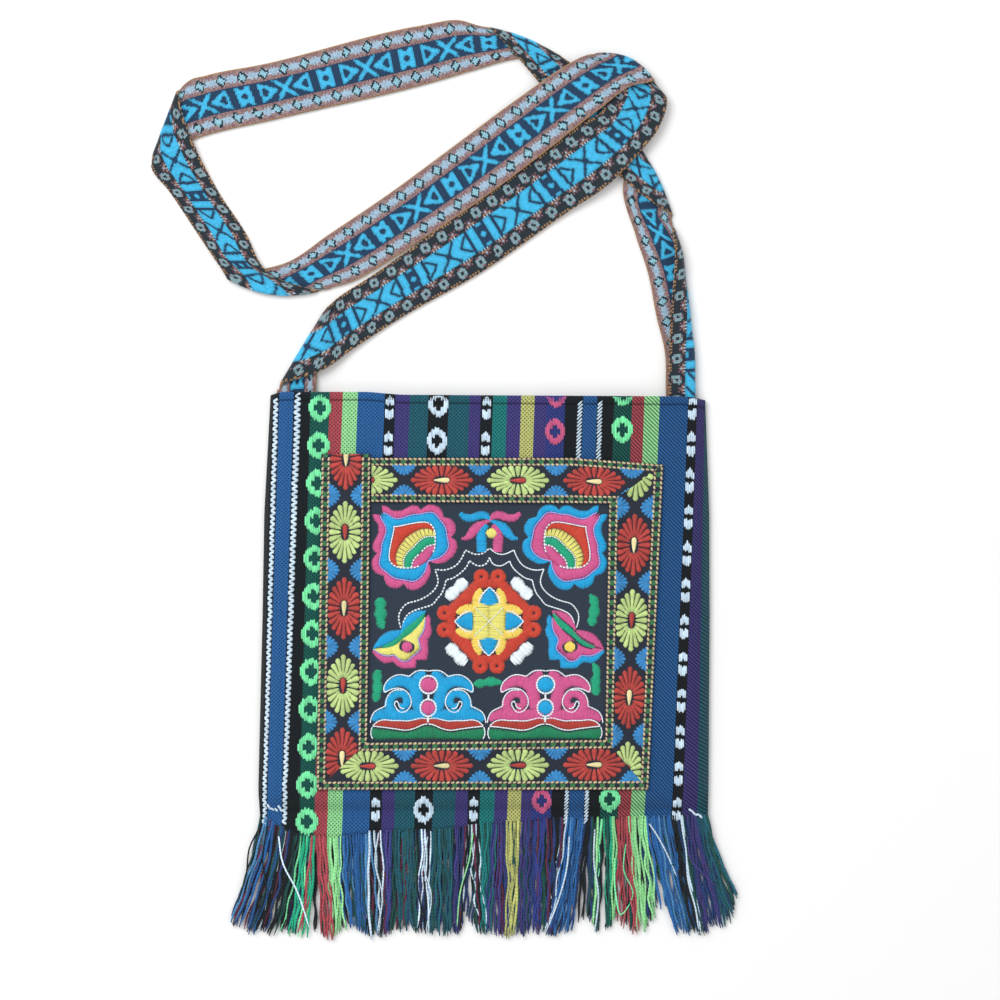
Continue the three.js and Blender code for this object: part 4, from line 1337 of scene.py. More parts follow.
def moved(points, place, side=1, pairs=1):
    """Points or strokes moved to a place; side -1 mirrors them to the other side of the bag."""
    points = np.array(points, float)
    for column in range(0, 2 * pairs, 2):
        points[:, column] = (points[:, column] + place[0]) * side
        points[:, column + 1] += place[1]
    return np.hstack([charted(points[:, :2 * pairs]), points[:, 2 * pairs:]])


def turned_over(points):
    """A tulip's other half: the chart mirrored on its slanted axis."""
    points = np.array(points, float)
    for column in range(0, points.shape[1], 2):
        points[:, [column, column + 1]] = -points[:, [column + 1, column]]
    return points


def on_tulip(points, half, side):
    """A half of a tulip's chart on the bag."""
    points = half(points)
    return moved(points, TULIP_PLACE, side, points.shape[1] // 2)


def on_flower(points, turn):
    """Points or strokes of the flower's chart on the bag, turned by quarter turns."""
    points = np.array(points, float)
    for _ in range(turn):
        points[:, :2] = np.stack([-points[:, 1], points[:, 0]], 1)
    return moved(points, FLOWER_PLACE)


def on_lotus(points, place, side):
    """A half of a lotus's chart on the bag."""
    return moved(np.array(points, float) * (side, *[1] * (len(points[0]) - 1)), place)


def swapped(strokes):
    """Strokes mirrored on the flower's slanted axis."""
    return [(y, x, width) for x, y, width in strokes]


def sew_tulips(work):
    """The two tulips in the upper corners."""
    ribs = broken_spline(np.array(TULIP_RIBS, float), TULIP_NOTCHES)
    second_ribs = np.vstack([ribs[:, 2:], [TULIP_TIP]])
    lilac_line = [row[2:4] for row in TULIP_RIBS]
    core = [row[4:] for row in TULIP_RIBS]
    for side, first, second in ((1, "pink", "blue"), (-1, "blue", "pink")):
        for half in (np.array, turned_over):
            put = partial(on_tulip, half=half, side=side)
            work.satin(put(ribs[:, :4]), first)
            work.satin(put(second_ribs), second)
            layers = (
                ([*core[TULIP_RED_FROM:-1], TULIP_RED_TIP], TULIP_YELLOW, "red"),
                (TULIP_YELLOW, TULIP_GREEN, "lemon"),
                (TULIP_GREEN, TULIP_LEAF, "leaf"),
                (TULIP_LEAF, TULIP_BASE, "pink"))
            for outer, inner, dye_name in layers:
                work.between(put(outer), put(inner), dye_name)
            work.running(put(core[TULIP_CORE_FROM:TULIP_CORE_TURN + 1]), "white", lift=0.55)
            work.cord(put(core[TULIP_CORE_TURN:]), "white", lift=0.55)
            work.slits(put(TULIP_YELLOW), put(TULIP_GREEN), "ground")
            work.cord(put(lilac_line), "lilac")
            work.running(put(TULIP_GREEN), "white", pitch=1.3, share=0.7, width=0.8, lift=0.6)
            work.running(put(TULIP_LEAF), "white", pitch=1.8, lift=0.6)


def sew_bow_and_collar(work):
    """The bow at the top, the scalloped collar's stitch lines and the small leaves."""
    for side, dye_name in ((1, "blue"), (-1, "pink")):
        work.stroke(moved(BOW_TAIL, BOW_PLACE, side), dye_name)
        work.stroke(moved(BOW_TOP, BOW_PLACE, side), dye_name, lift=0.15)
        sew_line = work.running if side == 1 else work.cord
        for line, corners in ((COLLAR_OUTER, COLLAR_OUTER_CORNERS), (COLLAR_INNER, COLLAR_INNER_CORNERS)):
            sew_line(moved(line, (0, 0), side), "white", corners, lift=0.1)
    work.disc(charted([BOW_KNOT])[0], BOW_KNOT_RADII, "lemon", 0.4)
    for leaf in LEAVES:
        work.stroke(leaf, "leaf")


def sew_flower(work):
    """The flower in the middle."""
    wedge = np.array(FLOWER_WEDGE, float)
    teeth = np.array([
        (x * side, FLOWER_TEETH_TOP - FLOWER_TEETH_SLOPE * x) for side in (-1, 1) for x in FLOWER_TEETH])
    feet = teeth + np.sign(teeth[:, :1]) * (FLOWER_TOOTH, 0)
    for turn in range(4):
        put = partial(on_flower, turn=turn)
        for curl in (FLOWER_BRIDGE, FLOWER_CURL, swapped(FLOWER_CURL)):
            work.stroke(put(curl), "red")
        for centre in put(FLOWER_ROSETTES):
            work.rosette(centre, ROSETTE_RADII, "red", 0.15)
        work.stroke(put(FLOWER_LEAF), "white", lift=0.1)
        for petal in (FLOWER_PETAL, swapped(FLOWER_PETAL)):
            work.stroke(put(petal), "gold", lift=0.3)
        work.satin(np.hstack([put(wedge * (-1, 1)), put(wedge)]), "blue", lift=0.4)
        comb = put(FLOWER_COMB)
        work.running(comb, "white", FLOWER_COMB_CORNERS, pitch=1.4, share=1, width=0.8, lift=0.8)
        work.add(put(teeth), put(feet), "white", width=0.6, lift=0.8, puff=0.2)
    for low, high in ((-FLOWER_CORE, FLOWER_CORE_LAP), (-FLOWER_CORE_LAP, FLOWER_CORE)):
        square = [(low, -FLOWER_CORE, high, -FLOWER_CORE), (low, FLOWER_CORE, high, FLOWER_CORE)]
        work.satin(moved(square, FLOWER_PLACE, 1, 2), "lemon", lift=0.3)
    for cross in FLOWER_CROSSES:
        work.running(moved(cross, FLOWER_PLACE), "white", pitch=1.7, share=0.85, width=0.5, lift=1.1)


def sew_blooms(work):
    """The two half-open blooms at the sides."""
    for side, wing, band, inner, ball in (
            (1, "blue", "pink", "lemon", "pink"), (-1, "pink", "blue", "pink", "gold")):
        put = partial(moved, place=BLOOM_PLACE, side=side)
        work.between(put(BLOOM_OUTER), put(BLOOM_INNER), band, BLOOM_OUTER_CORNERS)
        work.between(put(BLOOM_INNER), put(BLOOM_MIDRIB), inner, lift=0.05)
        work.between(put(BLOOM_WING_TOP), put(BLOOM_WING_INNER), wing, lift=0.1)
        work.between(put(BLOOM_LOW_TOP), put(BLOOM_LOW_FOOT), wing, lift=0.1)
        work.cord(put(BLOOM_INNER), "lilac", lift=0.45)
        work.stroke(put(BLOOM_GREEN), "leaf", lift=0.2)
        if side < 0:
            for points, away in BLOOM_SLITS:
                line = np.array(points) + np.array(BLOOM_SLIT_SHIFT) * away
                work.cord(put(line), "ground", lift=0.6)
        centre = put([BLOOM_BALL])[0]
        work.disc(centre, BLOOM_HOLE_RADII, "ground", 0.3)
        work.disc(centre, BLOOM_BALL_RADII, ball, 0.6)


def sew_lotuses(work):
    """The two scrolled lotus bases at the foot."""
    lines = (
        (LOTUS_LINE, LOTUS_LINE_CORNERS), (LOTUS_FOOT_LINE, LOTUS_FOOT_CORNERS), (LOTUS_RED_TOP, ()),
        (LOTUS_RED_FOOT, ()), (LOTUS_END_LINE, ()))
    for place, scroll, spot in zip(LOTUS_PLACES, ("blue", "pink"), ("pink", "blue")):
        for side in (1, -1):
            put = partial(on_lotus, place=place, side=side)
            for stroke in LOTUS_STROKES:
                work.stroke(put(stroke), scroll)
            work.between(put(LOTUS_RED_TOP), put(LOTUS_RED_FOOT), "brick")
            work.between(put(LOTUS_GREEN_TOP), put(LOTUS_GREEN_FOOT), "green")
            for line, corners in lines:
                work.cord(put(line), "white", corners, lift=0.4)
        for cord in LOTUS_CORDS:
            work.running(moved(cord, place), "white", pitch=1.3, share=1, width=1.3, lift=0.5)
        for height, ring_radii, disc_radii in LOTUS_DISCS:
            centre = moved([(0, height)], place)[0]
            work.disc(centre, disc_radii, spot, 0.5)
            work.ring(centre, ring_radii, "white", 0.6)


class BAG_OT_patch(bpy.types.Operator):
    """Adds the dark square that carries the embroidery"""
    bl_idname = "bag.patch"
    bl_label = "Patch cloth"

    def execute(self, context):
        settings = context.scene.bag_embroidery
        shares = np.linspace(0, 1, PATCH_POINTS)
        y = np.linspace(*PATCH_Y, PATCH_POINTS)[:, None] + np.zeros(PATCH_POINTS)
        left = np.interp(y, PATCH_Y, PATCH_LEFT)
        right = np.interp(y, PATCH_Y, PATCH_RIGHT)
        x = left + (right - left) * shares
        dyes = np.tile(tuple(settings.ground), ((PATCH_POINTS - 1) ** 2, 1))
        mesh = cloth_grid("patch_cloth", on_front(x, y, GAP + PATCH), dyes, np.stack([x, y], -1) / CM)
        # Dense black plain-weave cotton: fine even threads, drawn 0.9 mm apart so that they show
        material = plain_weave(
            "black_plain_cotton", roughness=0.8, sheen=0.2, period=0.09, low=0.6, high=1.5, bump=0.15)
        patch = piece("patch_cloth", mesh, material, "embroidery", "embroidered_patch")
        thicken(patch, PATCH * MM)
        return {"FINISHED"}


class BAG_OT_embroidery(bpy.types.Operator):
    """Adds the satin and running stitches of the embroidered square"""
    bl_idname = "bag.embroidery"
    bl_label = "Embroidery"

    def execute(self, context):
        groups = dict(
            tulip_stitches=sew_tulips, collar_stitches=sew_bow_and_collar,
            flower_stitches=sew_flower, bloom_stitches=sew_blooms, lotus_stitches=sew_lotuses)
        for seed, (name, sew) in enumerate(groups.items()):
            work = Needlework(context.scene.bag_embroidery, seed)
            sew(work)
            work.sew(name)
        return {"FINISHED"}


# Flower ribbon

def line_at(points, places):
    """A line's offset across at places along it, carried straight on past its ends."""
    along, across = np.array(points, float).T
    before = across[0] - (across[1] - across[0]) / (along[1] - along[0]) * LINE_BEYOND
    after = across[-1] + (across[-1] - across[-2]) / (along[-1] - along[-2]) * LINE_BEYOND
    return np.interp(
        places, [along[0] - LINE_BEYOND, *along, along[-1] + LINE_BEYOND], [before, *across, after])


def on_ribbon(strip, along, across, lift=0.0):
    """Points on a strip's face, at places along it and millimetres across from its outer edge."""
    share = across / RIBBON_WIDTH
    outer = line_at(strip["outer"], along)
    inner = line_at(strip["inner"], along)
    other = outer + (inner - outer) * share
    climb = np.clip((share - RIBBON_CLIMB[0]) / (RIBBON_CLIMB[1] - RIBBON_CLIMB[0]), 0, 1)
    climb = climb * climb * (3 - 2 * climb) * (PATCH + GAP)
    x, y = (along, other) if strip["axis"] == 0 else (other, along)
    return on_front(x, y, GAP + RIBBON + climb + lift)


def ribbon_ground(strip, settings):
    """A strip's woven ground with its check bands."""
    start, stop = strip["span"]
    rows = np.arange(start, stop + CHECK_LENGTH, CHECK_LENGTH)
    along, across = np.meshgrid(np.minimum(rows, stop), RIBBON_COLUMNS, indexing="ij")
    dyes = np.tile(tuple(settings.ground), (len(rows) - 1, len(RIBBON_COLUMNS) - 1, 1))
    for column in CHECK_COLUMNS:
        dyes[::2, column] = tuple(settings.check)
    return cloth_grid("ground", on_ribbon(strip, along, across), dyes, np.stack([across, along], -1) / CM)


def flower_slits():
    """Slits between the petals of a flower's quarter: start, end and width, as a petal has them."""
    petals = np.array(FLOWER_PETALS)
    middles = (petals[1:] + petals[:-1]) / 2
    starts = middles[:, :2]
    ways = middles[:, 2:4] - starts
    ends = [starts + ways * share for share in FLOWER_SLIT_REACH]
    return np.column_stack([*ends, np.full(len(ways), FLOWER_SLIT_WIDTH)])


def ribbon_petals(strip):
    """Petals of a strip's flowers and fans: start and tip on the strip, width and dye."""
    rows = []
    middle = RIBBON_WIDTH / 2
    slits = flower_slits()

    def add(place, petal, flip, dye_name):
        ends = np.array(petal[:4]) * (*flip, *flip) + (place, middle, place, middle)
        rows.append((*ends, petal[4], dye_name))
    for place, kind in strip["flowers"].items():
        for flip in FLIPS:
            for petal in FLOWER_PETALS:
                if (petal[3] or flip[1] > 0) and (petal[2] or flip[0] > 0):
                    add(place, petal, flip, kind)
            for slit in slits:
                add(place, slit, flip, "ground")
        add(place, FLOWER_EYE, (1, 1), "cream" if kind == "red" else "red")
    places = list(strip["flowers"])
    for before, after in zip(places, places[1:]):
        for flip in FLIPS:
            for petal in FAN_PETALS:
                if petal[2] or flip[0] > 0:
                    add((before + after) / 2, petal, flip, "fan")
    return rows


def petal_strands(strip, settings, generator):
    """A strip's petals, slits and fans as strands."""
    rows = ribbon_petals(strip)
    sizes = np.array([row[:5] for row in rows])
    names = [row[5] for row in rows]
    along, across = along_ends(sizes, np.array([0, 0.2, 0.45, 0.7, 0.9, 1]))
    dyes = yarns(settings, names) * generator.uniform(0.85, 1.1, (len(names), 1))
    lifts = np.array([FLOWER_SLIT_LIFT if name == "ground" else PETAL_LIFT for name in names])[:, None]
    return strand_mesh("petals", on_ribbon(strip, along, across, lifts), dyes, sizes[:, 4], height=0.5,
                       taper=(0.25, 0.5, 0.8, 1, 0.92, 0.4), sides=6)


def edge_stitches(strip, settings, generator):
    """A strip's slanted edge stitches as strands."""
    start, stop = strip["span"]
    places = np.arange(start + EDGE_STITCH_END, stop - EDGE_STITCH_END, EDGE_STITCH_PITCH)
    across = np.repeat(STITCH_LINES, len(places))[:, None]
    along = np.tile(places, len(STITCH_LINES))[:, None]
    reach = np.array([-1, -0.5, 0.5, 1])
    lifts = np.array([-0.1, 0.2, 0.2, -0.1])
    paths = on_ribbon(
        strip, along + EDGE_STITCH_REACH[0] * reach, across + EDGE_STITCH_REACH[1] * reach, lifts)
    shade = generator.uniform(0.7, 1.1, (len(paths), 1))
    dyes = np.tile(tuple(settings.stitch), (len(paths), 1)) * shade
    return strand_mesh("stitches", paths, dyes, width=1.2, height=0.7, taper=(0.6, 1, 1, 0.6))


class BAG_OT_ribbon(bpy.types.Operator):
    """Adds the flower ribbon round the patch, mitred at its corners"""
    bl_idname = "bag.ribbon"
    bl_label = "Flower ribbon"

    def execute(self, context):
        settings = context.scene.bag_ribbon
        generator = np.random.default_rng(5)
        grounds, petals, stitches = [], [], []
        for strip in RIBBON_STRIPS.values():
            middle = np.array(sum(strip["span"]) / 2)
            inside = on_ribbon(strip, middle, np.array(RIBBON_WIDTH / 2))[:2]
            grounds.append(trimmed(ribbon_ground(strip, settings), strip["ends"], inside))
            for strands, make in ((petals, petal_strands), (stitches, edge_stitches)):
                mesh = make(strip, settings, generator)
                strands.append(trimmed(mesh, strip["ends"], inside, closed=True))
        # Jacquard ribbon: close polyester ribs across its length, drawn 0.7 mm apart
        weave = plain_weave(
            "jacquard_ribbon", roughness=0.7, sheen=0.25, period=0.07, low=0.6, high=1.5, bump=0.12)
        ground = joined("ribbon_weave", grounds)
        ribbon = piece("ribbon_weave", ground, weave, "flower_ribbon", "ribbon_border")
        thicken(ribbon, settings.thickness)
        # Shiny figure weft of the flowers: floats side by side, 0.6 mm apart
        floats = twisted_yarn(
            "figure_weft", roughness=0.5, sheen=0.25, ply=0.06, low=0.6, high=1.3, bump=0.1)
        piece("ribbon_flowers", joined("ribbon_flowers", petals), floats, "flower_ribbon")
        piece("ribbon_stitches", joined("ribbon_stitches", stitches), floats, "flower_ribbon")
        return {"FINISHED"}


# Strap

def fold_rows(lines, index, shares, climb, bow, facing):
    """Rows of points and of face directions round a fold, and the turn of each, up to half a turn."""
    rim = lines[index]
    outward = np.cross(rim[0] - rim[-1], UP)
    outward /= np.linalg.norm(outward)
    if np.dot(outward, rim.mean(0) - lines[index - 1].mean(0)) < 0:
        outward = -outward
    rim = rim + outward * (bow * (1 - (2 * shares - 1) ** 2))[:, None]
    turns = np.linspace(0, math.pi, FOLD_STEPS + 1)
    points, normals = [], []
    for turn in turns:
        layer = lines[index - 1] if turn < math.pi / 2 else lines[index + 1]
        way = (layer - rim) * (1, 1, 0)
        inward = abs(climb) / 2 * (1 - math.sin(turn))
        raised = climb / 2 * (1 - math.cos(turn))
        share = inward / np.maximum(-way @ outward, 1e-6)
        share = np.minimum(share, np.minimum(FOLD_MOST, FOLD_EASE / np.linalg.norm(way, axis=1)))
        points.append(rim + way * share[:, None] + UP * raised)
        normal = facing * (math.cos(turn) * UP - math.copysign(math.sin(turn), climb) * outward)
        normals.append(np.tile(normal, (len(shares), 1)))
    return points, normals, turns


def rolled_row(line, shares, tuck, radius):
    """A section's points and face directions with its edge a rolled over."""
    width = np.linalg.norm(line[-1] - line[0])
    across = (line[-1] - line[0]) / width
    stop = shares * width
    turn = np.clip((stop - tuck) / radius, 0, math.pi)
    beyond = np.maximum(stop - tuck - radius * math.pi, 0)
    aside = np.minimum(stop, tuck) + radius * np.sin(turn) - beyond
    points = line[0] + across * aside[:, None] + UP * (radius * (1 - np.cos(turn)))[:, None]
    return points, UP * np.cos(turn)[:, None] - across * np.sin(turn)[:, None]


def strap_shares():
    """Places across the strap from edge b to edge a, as shares of its width, one for each yarn column."""
    columns = len(STRAP_BORDER_RIGHT[0])
    border = np.arange(1, columns + 1) * BORDER_WIDTH / columns
    inner = STRAP_EDGE + BORDER_WIDTH
    centre_width = STRAP_WIDTH - 2 * inner
    columns = 2 * len(STRAP_CENTRE_RIGHT[0])
    centre = np.arange(1, columns + 1) * centre_width / columns
    places = [0, STRAP_EDGE, *(STRAP_EDGE + border), *(inner + centre)]
    places += [*(inner + centre_width + border), STRAP_WIDTH]
    return np.array(places) / STRAP_WIDTH


def strap_controls(shares):
    """Sections of the strap: rows of points and of face directions, and which leg each is on."""
    rows = np.array([row[:5] for row in STRAP_SECTIONS], float)
    from_b = rows[:, None, [2, 3, 4]]
    lines = from_b + (rows[:, None, [0, 1, 4]] - from_b) * shares[:, None]
    points, normals, legs = [], [], []
    leg = 0
    facing = 1.0
    for index, row in enumerate(STRAP_SECTIONS):
        kind, *sizes = row[5:] or ("plain",)
        if kind == "fold":
            fold_points, fold_normals, turns = fold_rows(lines, index, shares, *sizes, facing)
            points += fold_points
            normals += fold_normals
            legs += list(leg + (turns > math.pi / 2))
            leg += 1
            facing = -facing
            continue
        line, normal = lines[index], np.tile(UP * facing, (len(shares), 1))
        if kind == "roll":
            line, normal = rolled_row(line, shares, *sizes)
        points.append(line)
        normals.append(normal)
        legs.append(leg)
    return np.array(points), np.array(normals), np.array(legs)


def strap_surface():
    """The strap's middle surface in even rows: points, face directions and distance along at each point,
    and the shares across."""
    shares = strap_shares()
    points, normals, legs = strap_controls(shares)
    count = len(shares)
    gaps = np.linalg.norm(np.diff(points, axis=0), axis=2).mean(1)
    rows = np.hstack([points.reshape(len(points), -1), normals.reshape(len(points), -1)])
    line = spline(rows, gaps, STRAP_STEPS)
    leg_line = np.repeat(legs, STRAP_STEPS)[:len(line)]
    gone = travel(line[:, :3 * count].reshape(-1, count, 3).mean(1))
    places = np.linspace(0, gone[-1], int(gone[-1] / STRAP_CELL) + 1)
    line = at_places(line, gone, places)
    grid = line[:, :3 * count].reshape(-1, count, 3)
    grid[..., 2] = np.maximum(grid[..., 2], STRAP_LOWEST)
    facing = line[:, 3 * count:].reshape(-1, count, 3)
    facing /= np.linalg.norm(facing, axis=2, keepdims=True)
    lead = travel(grid[:, -1]) - travel(grid[:, 0])
    leg_of = np.rint(np.interp(places, gone, leg_line))
    centres = [places[leg_of == leg].mean() for leg in np.unique(leg_of)]
    lead = lead - np.interp(places, centres, np.interp(centres, places, lead))
    second_fold = places[leg_of <= 1].max()
    shift = np.interp(places, second_fold + np.array(STRAP_SHIFT_REACH), STRAP_SHIFTS)
    along = (places + shift)[:, None] + lead[:, None] * (shares - 0.5)
    return grid, facing, along, shares


def strap_chart(along, side):
    """The yarn of each cell on one side of the strap, as letters of its chart, row by row."""
    border = STRAP_BORDER_RIGHT if side > 0 else STRAP_BORDER_WRONG
    centre = STRAP_CENTRE_RIGHT if side > 0 else STRAP_CENTRE_WRONG
    centre = [half + half[::-1] for half in centre + centre[::-1]]
    repeat = len(centre)
    columns = len(border[0])
    last = along.shape[1] - 1
    letters = np.empty(along.shape, "<U1")
    for (row, column), place in np.ndenumerate(along):
        cell = place / STRAP_CELL
        from_edge = min(column, last - column)
        if from_edge == 0:
            letters[row, column] = "e" if side > 0 or int(cell / EDGE_BEAT) % 2 else "k"
        elif from_edge <= columns:
            pick = int(cell * len(border) * BORDER_REPEATS / repeat) % len(border)
            letters[row, column] = border[pick][from_edge - 1].replace(".", "g")
        else:
            mark = centre[int(cell) % repeat][column - 1 - columns]
            letters[row, column] = "b" if mark == "#" else "n"
    return letters


def corner_means(values):
    """The mean of each four neighbours in a grid."""
    return (values[1:, 1:] + values[:-1, 1:] + values[1:, :-1] + values[:-1, :-1]) / 4


def strap_side(settings, generator, side, grid, facing, along, shares):
    """One face of the strap with its pattern, the blue floats raised, with painted shade at their ends."""
    letters = strap_chart((along[1:, 1:] + along[:-1, :-1]) / 2, side)
    table = {letter: tuple(getattr(settings, name)) for letter, name in STRAP_YARNS.items()}
    if side < 0:
        table["g"] = table["k"]
    dyes = np.array([table[letter] for letter in letters.ravel()])
    floats = letters == "b"
    lift = corner_means(np.pad(floats.astype(float), 1))
    # Painted shade: each blue float's dye is darkened towards its ends and sides, where it dips
    shade = np.where(floats, FLOAT_END_PAINTED_SHADE + corner_means(lift), 1)
    shade = shade * generator.uniform(0.82, 1.1, letters.shape)
    reach = settings.thickness / MM / 2 - STRAP_FACE_DROP + lift * settings.float_lift / MM
    places = np.stack([np.broadcast_to(shares * STRAP_WIDTH, along.shape), along], -1) / CM
    mesh = cloth_grid("side", grid + facing * side * reach[..., None], dyes * shade.reshape(-1, 1), places)
    if side < 0:
        mesh.flip_normals()
    return mesh


class BAG_OT_strap(bpy.types.Operator):
    """Adds the folded jacquard strap, with its pattern woven on both sides"""
    bl_idname = "bag.strap"
    bl_label = "Strap"

    def execute(self, context):
        settings = context.scene.bag_strap
        generator = np.random.default_rng(7)
        surface = strap_surface()
        sides = [strap_side(settings, generator, side, *surface) for side in (1, -1)]
        mesh = joined("strap_weave", sides)
        form = bmesh.new()
        form.from_mesh(mesh)
        bmesh.ops.bridge_loops(form, edges=[edge for edge in form.edges if edge.is_boundary])
        bmesh.ops.recalc_face_normals(form, faces=form.faces)
        form.to_mesh(mesh)
        form.free()
        # Jacquard webbing: thick soft cotton picks across it, 0.85 mm apart
        material = plain_weave("jacquard_webbing", roughness=0.75, sheen=0.3, period=STRAP_CELL / CM,
                               low=0.6, high=1.5, bump=0.15)
        strap = piece("strap_weave", mesh, material, "strap_webbing", "strap")
        return {"FINISHED"}


# Fringe

def swing(turns, phase):
    """A wave of so many turns that starts from nothing at a phase."""
    return np.sin(2 * math.pi * turns + phase) - math.sin(phase)


def fringe_paths(generator, spacing, height, settle, jitter, shorter):
    """Strands in clumps from the end of the weave to their tips: paths and root places."""
    paths, roots = [], []
    steps = np.linspace(0, 1, FRINGE_RINGS)
    left = -FRINGE_HALF_WIDTH
    while left < FRINGE_HALF_WIDTH:
        width = CLUMP_WIDTH * generator.uniform(0.7, 1.4)
        middle = np.interp(left + width / 2, *FRINGE_SPREAD.T)
        drift = generator.normal(0, jitter)
        squeeze = generator.uniform(0.4, 0.95)
        wave = generator.uniform(0.5, 1.8)
        phase = generator.uniform(0, 2 * math.pi)
        bends = generator.uniform(0.5, 1.1)
        for root in np.arange(left, left + width, spacing):
            wander = generator.normal(0, 0.35)
            root = np.clip(root + wander, -ROOT_LIMIT, ROOT_LIMIT)
            wander = generator.normal(0, 1.1)
            tip_x = np.interp(root, *FRINGE_SPREAD.T)
            tip_x = middle + (tip_x - middle) * squeeze + drift + wander
            tip_x = np.clip(tip_x, FRINGE_CONTOUR[0, 0], FRINGE_CONTOUR[-1, 0])
            ragged = abs(generator.normal(0, 2.2))
            tip_y = np.interp(tip_x, *FRINGE_CONTOUR.T) + shorter + ragged
            root_y = np.interp(root, *WEAVE_END.T) + ROOT_TUCK
            x = root + (tip_x - root) * steps ** SPREAD_POWER
            x += wave * swing(bends * steps, phase) * steps * (WAVE_FADE - steps)
            curl = generator.uniform(0.25, 1.0)
            own_phase = generator.uniform(0, 2 * math.pi)
            cycles = generator.uniform(1.5, 3.5)
            x += curl * swing(cycles * steps, own_phase) * np.minimum(steps * CURL_GROWTH, 1)
            y = root_y + (tip_y - root_y) * steps
            depth = generator.uniform(0, 1.3)
            z = height + depth + (settle - height) * steps ** SETTLE_POWER
            paths.append(np.stack([x, y, z], 1))
            roots.append(root)
        left += width
    return np.array(paths), np.array(roots)


def stray_paths():
    """Single strands that lie on the others."""
    shares = np.linspace(0, 1, FRINGE_RINGS)
    heights = 3.4 - shares
    return np.array([np.column_stack([at_shares(places, shares), heights]) for _, *places in STRAYS])


def stripe_at(x):
    """Number of the stripe at each x along the foot of the cloth."""
    edges = stripe_edges(CLOTH_FOOT_Y)
    return np.clip(np.searchsorted(edges, x) - 1, 0, len(STRIPES) - 1)


def front_yarns(generator, roots):
    """The front strands' yarns: each stripe's own, with its motif's and some others among them."""
    names = []
    wander = generator.normal(0, 0.9, len(roots))
    stripes = stripe_at(roots + wander)
    for root, stripe in zip(roots, stripes):
        name, motif = STRIPES[stripe][:2]
        share, floating = FRINGE_FLOATS.get(motif, (0, ""))
        if (name == "black" or root < FRINGE_DARK_END) and generator.random() < FRINGE_DARK_SHARE:
            name = BACK_YARNS[generator.integers(0, len(BACK_YARNS))]
        name = floating if generator.random() < share else name
        mix, other = FRINGE_MIX.get(name, (0, ""))
        names.append(other if generator.random() < mix else name)
    return names


def back_yarns(generator, roots):
    """The back strands' yarns, the same for all that start in one clump."""
    clumps = generator.integers(0, len(BACK_YARNS), BACK_CLUMPS)
    return [BACK_YARNS[clumps[int(root / BACK_CLUMP_WIDTH) + BACK_CLUMPS // 2]] for root in roots]


class BAG_OT_fringe(bpy.types.Operator):
    """Adds the loose warp strands below both panels"""
    bl_idname = "bag.fringe"
    bl_label = "Fringe"

    def execute(self, context):
        settings = context.scene.bag_cloth
        width = settings.yarn_width / MM
        taper = (0.8, *[1] * (FRINGE_RINGS - 3), 0.85, 0.4)
        # Loose cotton yarn: two plies twisted, 1.6 mm to a turn
        material = twisted_yarn(
            "loose_cotton_yarn", roughness=0.85, sheen=0.15, ply=0.16, low=0.5, high=1.45, bump=0.2)
        for name, node, seed, *lay in FRINGES:
            generator = np.random.default_rng(seed)
            paths, roots = fringe_paths(generator, *lay)
            if node == "front_fringe":
                names = front_yarns(generator, roots) + [row[0] for row in STRAYS]
                paths = np.vstack([paths, stray_paths()])
            else:
                names = back_yarns(generator, roots)
            dyes = yarns(settings, names) * generator.uniform(0.7, 1.15, (len(names), 1))
            widths = width * generator.uniform(0.75, 1.1, len(names))
            widths[len(roots):] *= STRAY_WIDTH
            mesh = strand_mesh(name, paths, dyes, widths, width * FRINGE_FLATNESS, taper, sides=5)
            piece(name, mesh, material, "fringe_yarn", node)
        return {"FINISHED"}


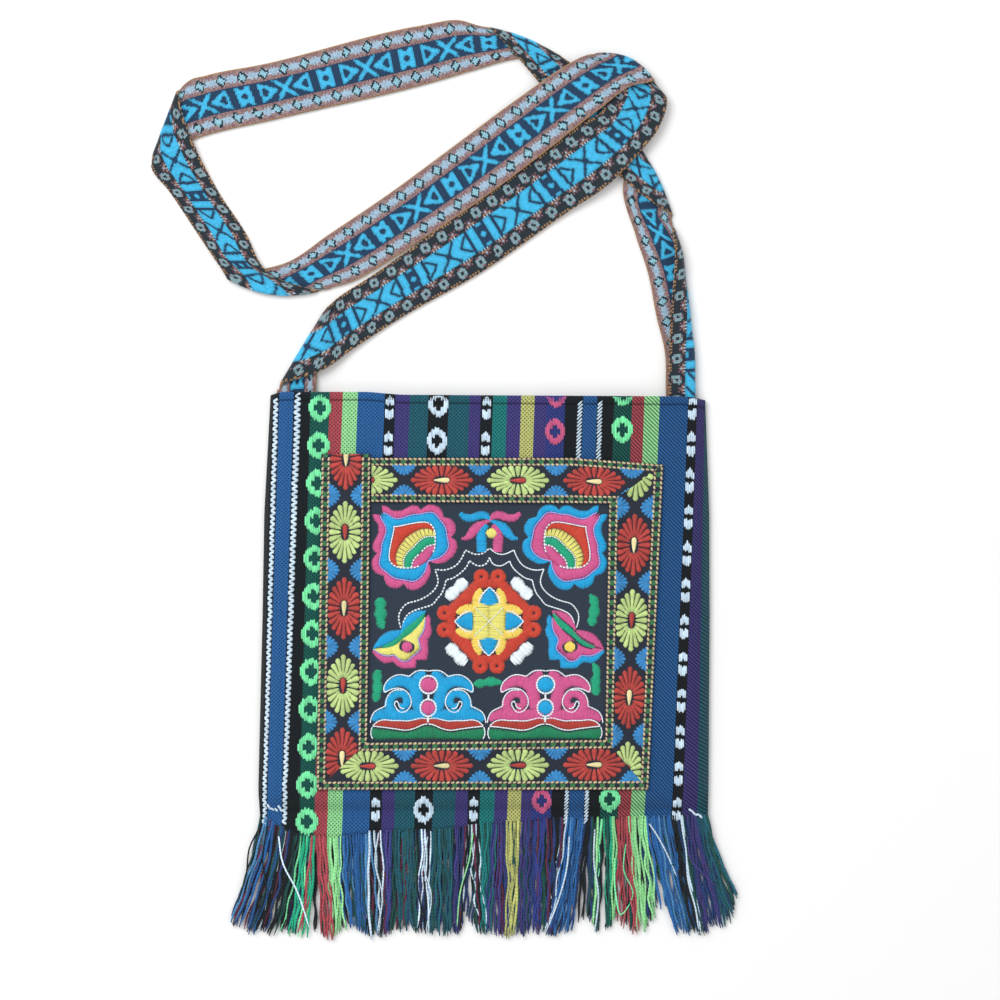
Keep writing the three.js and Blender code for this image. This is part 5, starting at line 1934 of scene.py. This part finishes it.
class BAG_OT_stage(bpy.types.Operator):
    """Adds the pale floor, the soft light and the camera straight above the bag"""
    bl_idname = "bag.stage"
    bl_label = "Stage"

    def execute(self, context):
        scene = context.scene
        settings = scene.bag_stage
        form = bmesh.new()
        bmesh.ops.create_grid(form, x_segments=2, y_segments=2, size=4.0)
        bmesh.ops.translate(form, vec=(0, 0, FLOOR_Z), verts=form.verts)
        mesh = bpy.data.meshes.new("studio_floor")
        form.to_mesh(mesh)
        form.free()
        # Matt white backdrop paper: an even pale face without shine
        paper = bpy.data.materials.new("white_paper_backdrop")
        paper.use_nodes = True
        shader = paper.node_tree.nodes["Principled BSDF"]
        shader.inputs["Base Color"].default_value = (*settings.floor, 1)
        shader.inputs["Roughness"].default_value = 0.9
        mesh.materials.append(paper)
        world = bpy.data.worlds.new("soft_studio")
        world.use_nodes = True
        background = world.node_tree.nodes["Background"]
        background.inputs["Strength"].default_value = settings.sky
        background.inputs["Color"].default_value = (1, 1, 1, 1)
        scene.world = world
        light = bpy.data.lights.new("key_softbox", "AREA")
        light.energy = settings.key_power
        light.size = 1.1
        camera = bpy.data.cameras.new("camera")
        camera.sensor_width = SENSOR
        camera.lens = SENSOR * VIEW_DISTANCE / VIEW_WIDTH
        floor, lamp, eye = (bpy.data.objects.new(data.name, data) for data in (mesh, light, camera))
        for thing in (floor, lamp, eye):
            scene.collection.objects.link(thing)
        lamp.location = (-0.75, 0.85, 1.25)
        lamp.rotation_euler = [math.radians(angle) for angle in (-33, -30, 0)]
        eye.location = (0.0088, 0.0572, 2.005)
        scene.camera = eye
        scene.view_settings.view_transform = "Standard"
        return {"FINISHED"}


OPERATORS = (
    BAG_OT_stage, BAG_OT_back_cloth, BAG_OT_front_cloth, BAG_OT_woven_motifs, BAG_OT_patch,
    BAG_OT_embroidery, BAG_OT_ribbon, BAG_OT_strap, BAG_OT_fringe,
)
SETTINGS = dict(
    bag_cloth=ClothSettings, bag_embroidery=EmbroiderySettings, bag_ribbon=RibbonSettings,
    bag_strap=StrapSettings, bag_stage=StageSettings)


class BAG_PT_panel(bpy.types.Panel):
    """Lists the bag's pieces"""
    bl_idname = "BAG_PT_panel"
    bl_label = "Embroidered bag"
    bl_space_type = "VIEW_3D"
    bl_region_type = "UI"
    bl_category = "Bag"

    def draw(self, context):
        for operator in OPERATORS:
            self.layout.operator(operator.bl_idname)


def register():
    """Registers the settings, the operators and the panel."""
    for name, group in SETTINGS.items():
        bpy.utils.register_class(group)
        setattr(bpy.types.Scene, name, bpy.props.PointerProperty(type=group))
    for kind in (*OPERATORS, BAG_PT_panel):
        bpy.utils.register_class(kind)


def unregister():
    """Removes what register added."""
    for kind in (BAG_PT_panel, *reversed(OPERATORS)):
        bpy.utils.unregister_class(kind)
    for name, group in SETTINGS.items():
        delattr(bpy.types.Scene, name)
        bpy.utils.unregister_class(group)


def main():
    register()
    for operator in OPERATORS:
        group, name = operator.bl_idname.split(".")
        getattr(getattr(bpy.ops, group), name)()


if __name__ == "__main__":
    main()
